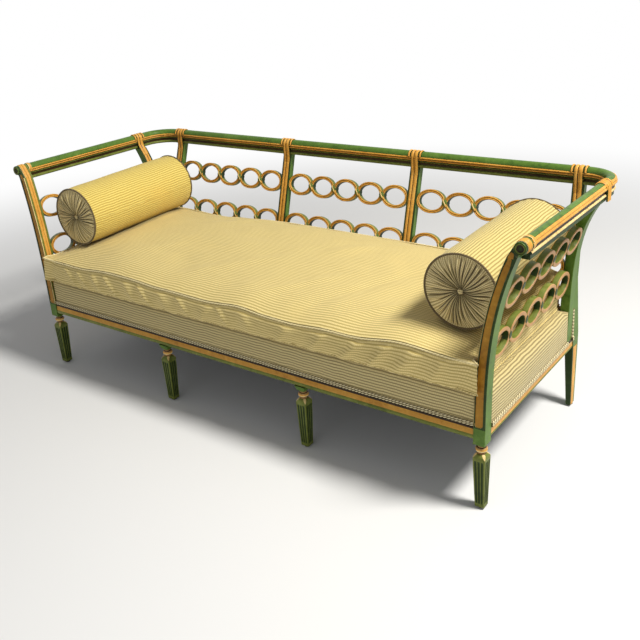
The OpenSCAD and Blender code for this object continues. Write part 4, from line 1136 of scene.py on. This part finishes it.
piece = build("seat_cushion_cover", cushion(), [CLOTH], "cover_cloth", body="cushion",
              nodes=["seat_cushion"], sharp=75, weld=0.05)
crumple(piece)
pipes = Shape()
pipes.tube(rim_path(0.0, 1.0), 3.0, 0, sides=8, closed=True)
pipes.tube(rim_path(0.97, 0.5), 2.8, 1, sides=8, closed=True)
# short seam that crosses the front of the cover, a little right of the middle
seam = [cushion_top(101, j) for j in range(20)]
pipes.tube([(x, y, z + 0.3) for x, y, z in seam], 1.6, 0, sides=6)
piece = build("seat_cushion_piping", pipes, [PIPING_SOFT, CLOTH], "cover_cloth", body="cushion",
              sharp=70)


# ---------------------------------------------------------------- bolsters
ROLL_ENDS = ((-1, BOLSTER_Y0), (1, BOLSTER_Y1))


def bolster(seed, pleats=34):
    """Roll along y with gathered ends, its middle at x = z = 0."""
    shape = Shape()
    count, steps, radial = 120, 48, 22
    rows = []
    length = BOLSTER_Y1 - BOLSTER_Y0
    for k in range(steps + 1):
        t = k / steps
        y, end = BOLSTER_Y0 + length * t, min(t, 1 - t) * length
        base = BOLSTER_R - 2.2 * (1 - smooth(end / 60)) - 0.5
        row = []
        for j, (c, s) in enumerate(circle(count)):
            r = base + 1.6 * drift(c * 1.3 + seed, s * 1.3, y * 0.008)
            r += 0.9 * exp(-end / 25) * cos(26 * (tau * j / count) + seed)
            row.append((r * c, y, r * s))
        rows.append(row)
    around = tau * BOLSTER_R / count / 1000
    shape.loft(rows, 0, weave=lambda i, j: (i * length / steps / 1000, j * around))
    for end, y_end in ROLL_ENDS:
        widths, depths, reaches = ([low + span * random.random() for _ in range(pleats)]
                                   for low, span in ((0.6, 0.8), (0.55, 0.6), (0.45, 0.55)))
        total, start, columns = sum(widths), 0.0, []
        for width, depth, far in zip(widths, depths, reaches):
            columns += [(tau * (start + width * k / 10) / total, depth * hump(k / 10, 0.75), far)
                        for k in range(10)]
            start += width
        rows = []
        for k in range(radial + 1):
            t = k / radial
            radius = (BOLSTER_R - 2.6) * (1 - t) + 7 * t
            puff = 6.5 * hump(min(1.0, (1 - t) * 1.08)) - 5 * smooth((t - 0.6) / 0.4)
            row = []
            for angle, ridge, far in columns:
                swirl = angle + end * 0.16 * t * t + 0.03 * sin(3 * angle + 5 * t)
                rise = 13.0 * smooth(t * 6) * (1 - 0.45 * t) * (ridge - 0.5)
                rise *= 0.35 + 0.65 * smooth((far + 0.25 - (1 - t)) * 3)
                row.append((radius * cos(swirl), y_end + end * min(12.5, puff + rise),
                            radius * sin(swirl)))
            rows.append(row)
        shape.loft(rows, 1, weave=lambda i, j: ((1 - i / radial) * 0.1, j * 0.066 / pleats))
    return shape


def bolster_piping():
    """Piping on both rims."""
    shape, radius = Shape(), BOLSTER_R - 2.2
    for _, y_end in ROLL_ENDS:
        shape.tube([(radius * c, y_end, radius * s) for c, s in circle(90)], 3.2, 0, sides=8,
                   closed=True)
    return shape


def bolster_buttons():
    """Small covered button in the middle of each end."""
    shape = Shape()
    angles = [tau * k / 28 for k in range(28)]
    for end, y_end in ROLL_ENDS:
        rows = []
        for radius, height in ((9.0, -1.0), (9.4, 2.0), (8.2, 4.6), (5.4, 6.4), (1.2, 6.8)):
            lumpy = [radius * (1 + 0.1 * sin(5 * a + end)) for a in angles]
            rows.append([(r * cos(a), y_end - end * 5 + end * height * (1 + 0.08 * sin(3 * a)),
                          r * sin(a)) for r, a in zip(lumpy, angles)])
        shape.loft(rows, 0, ends=(0, 0))
    shape.lay_cloth(across=2)
    return shape


for side, tag, cloth in ((1, "right", CLOTH_RIGHT), (-1, "left", CLOTH_LEFT)):
    middle = (BOLSTER_Y0 + BOLSTER_Y1) / 2
    place = (Matrix.Translation((side * BOLSTER_X, middle, BOLSTER_Z))
             @ Matrix.Rotation(BOLSTER_TILT, 4, "X") @ Matrix.Translation((0, -middle, 0)))
    for shape, name, fabric, nodes in (
            (bolster(3.0 + side), "roll_", [cloth, CLOTH_CAP], ["bolster_" + tag]),
            (bolster_piping(), "roll_piping_", [PIPING_DARK], []),
            (bolster_buttons(), "roll_button_", [CLOTH_CAP], ["bolster_buttons_" + tag])):
        piece = build(name + tag, Shape().join(shape, place), fabric, "cover_cloth",
                      body="bolster_" + tag, nodes=nodes, sharp=70)


# ---------------------------------------------------------------- CAD pieces that stay
for name, material in (("rear_leg_inner_left", WOOD[G]), ("rear_leg_inner_right", WOOD[G]),
                       ("foot_glides", GLIDE), ("cross_rail_left", TIMBER),
                       ("cross_rail_right", TIMBER), ("corner_blocks", TIMBER),
                       ("seat_webbing", JUTE), ("dust_cover", DUST)):
    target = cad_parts[name]
    for piece in (target if isinstance(target, (list, tuple)) else [target]):
        piece.data.materials.clear()
        piece.data.materials.append(material)


# ---------------------------------------------------------------- floor, light, camera
WHITE = {"Color": (1, 1, 1, 1), "Strength": 1.0}


def stage_floor(size=40.0):
    """Pale floor that fades to plain white far from the piece."""
    mesh = bpy.data.meshes.new("floor")
    mesh.from_pydata([(sx * size, sy * size, 0) for sx, sy in SQUARE], [], [(0, 1, 2, 3)])
    floor = new_object("floor", mesh)
    material, net, place = new_material("floor_pale", 0.9, Specular_IOR_Level=0.1,
                                        Base_Color=(0.8, 0.8, 0.8, 1))
    far = net.node("VectorMath", {0: place}, operation="LENGTH").outputs["Value"]
    both = net.node("MixShader", {0: net.mul(net.seen(), net.ramp(far, 1.6, 4.2)),
                                  1: net.shader.outputs[0],
                                  2: net.node("Emission", WHITE).outputs[0]})
    net.tree.links.new(both.outputs[0], net.tree.nodes["Material Output"].inputs["Surface"])
    mesh.materials.append(material)


def world_light(level):
    """White behind the piece, dimmer as a light."""
    world = bpy.data.worlds.new("studio")
    bpy.context.scene.world = world
    world.use_nodes = True
    net = Net(world.node_tree)
    back = net.tree.nodes["Background"]
    back.inputs["Color"].default_value = (1.0, 1.0, 1.0, 1)
    back.inputs["Strength"].default_value = level
    both = net.node("MixShader", {0: net.seen(), 1: back.outputs[0],
                                  2: net.node("Background", WHITE).outputs[0]})
    net.tree.links.new(both.outputs[0], net.tree.nodes["World Output"].inputs["Surface"])


def area_light(name, place, size, power, colour):
    lamp = bpy.data.lights.new(name, "AREA")
    lamp.shape = "DISK"
    lamp.size = size
    lamp.energy = power
    lamp.color = colour
    holder = new_object(name, lamp)
    holder.location = place
    towards = Vector((0, 0, 0.4)) - Vector(place)
    holder.rotation_euler = towards.to_track_quat("-Z", "Y").to_euler()


stage_floor()
world_light(0.27)
area_light("key", (3.0, 0.15, 4.3), 1.1, 285, (1.0, 0.98, 0.93))
area_light("fill", (0.6, -3.8, 2.0), 2.6, 9, (0.96, 0.98, 1.0))

RIGHT = Vector((0.8076228746, 0.5864706863, -0.0616232622))
DOWN = Vector((0.1542379452, -0.3109418170, -0.9378303912))
AHEAD = Vector((-0.5691712823, 0.7479086311, -0.3415797577))
lens = bpy.data.cameras.new("camera")
lens.lens = 46.7525
lens.sensor_width = 36.0
lens.sensor_fit = "HORIZONTAL"
lens.shift_x = 0.00286
lens.shift_y = -0.0940
lens.clip_end = 200
camera = new_object("camera", lens)
camera.matrix_world = Matrix((
    (RIGHT.x, -DOWN.x, -AHEAD.x, 1.77477),
    (RIGHT.y, -DOWN.y, -AHEAD.y, -2.18588),
    (RIGHT.z, -DOWN.z, -AHEAD.z, 1.48278),
    (0, 0, 0, 1)))
bpy.context.scene.camera = camera
bpy.context.scene.view_settings.view_transform = "Standard"
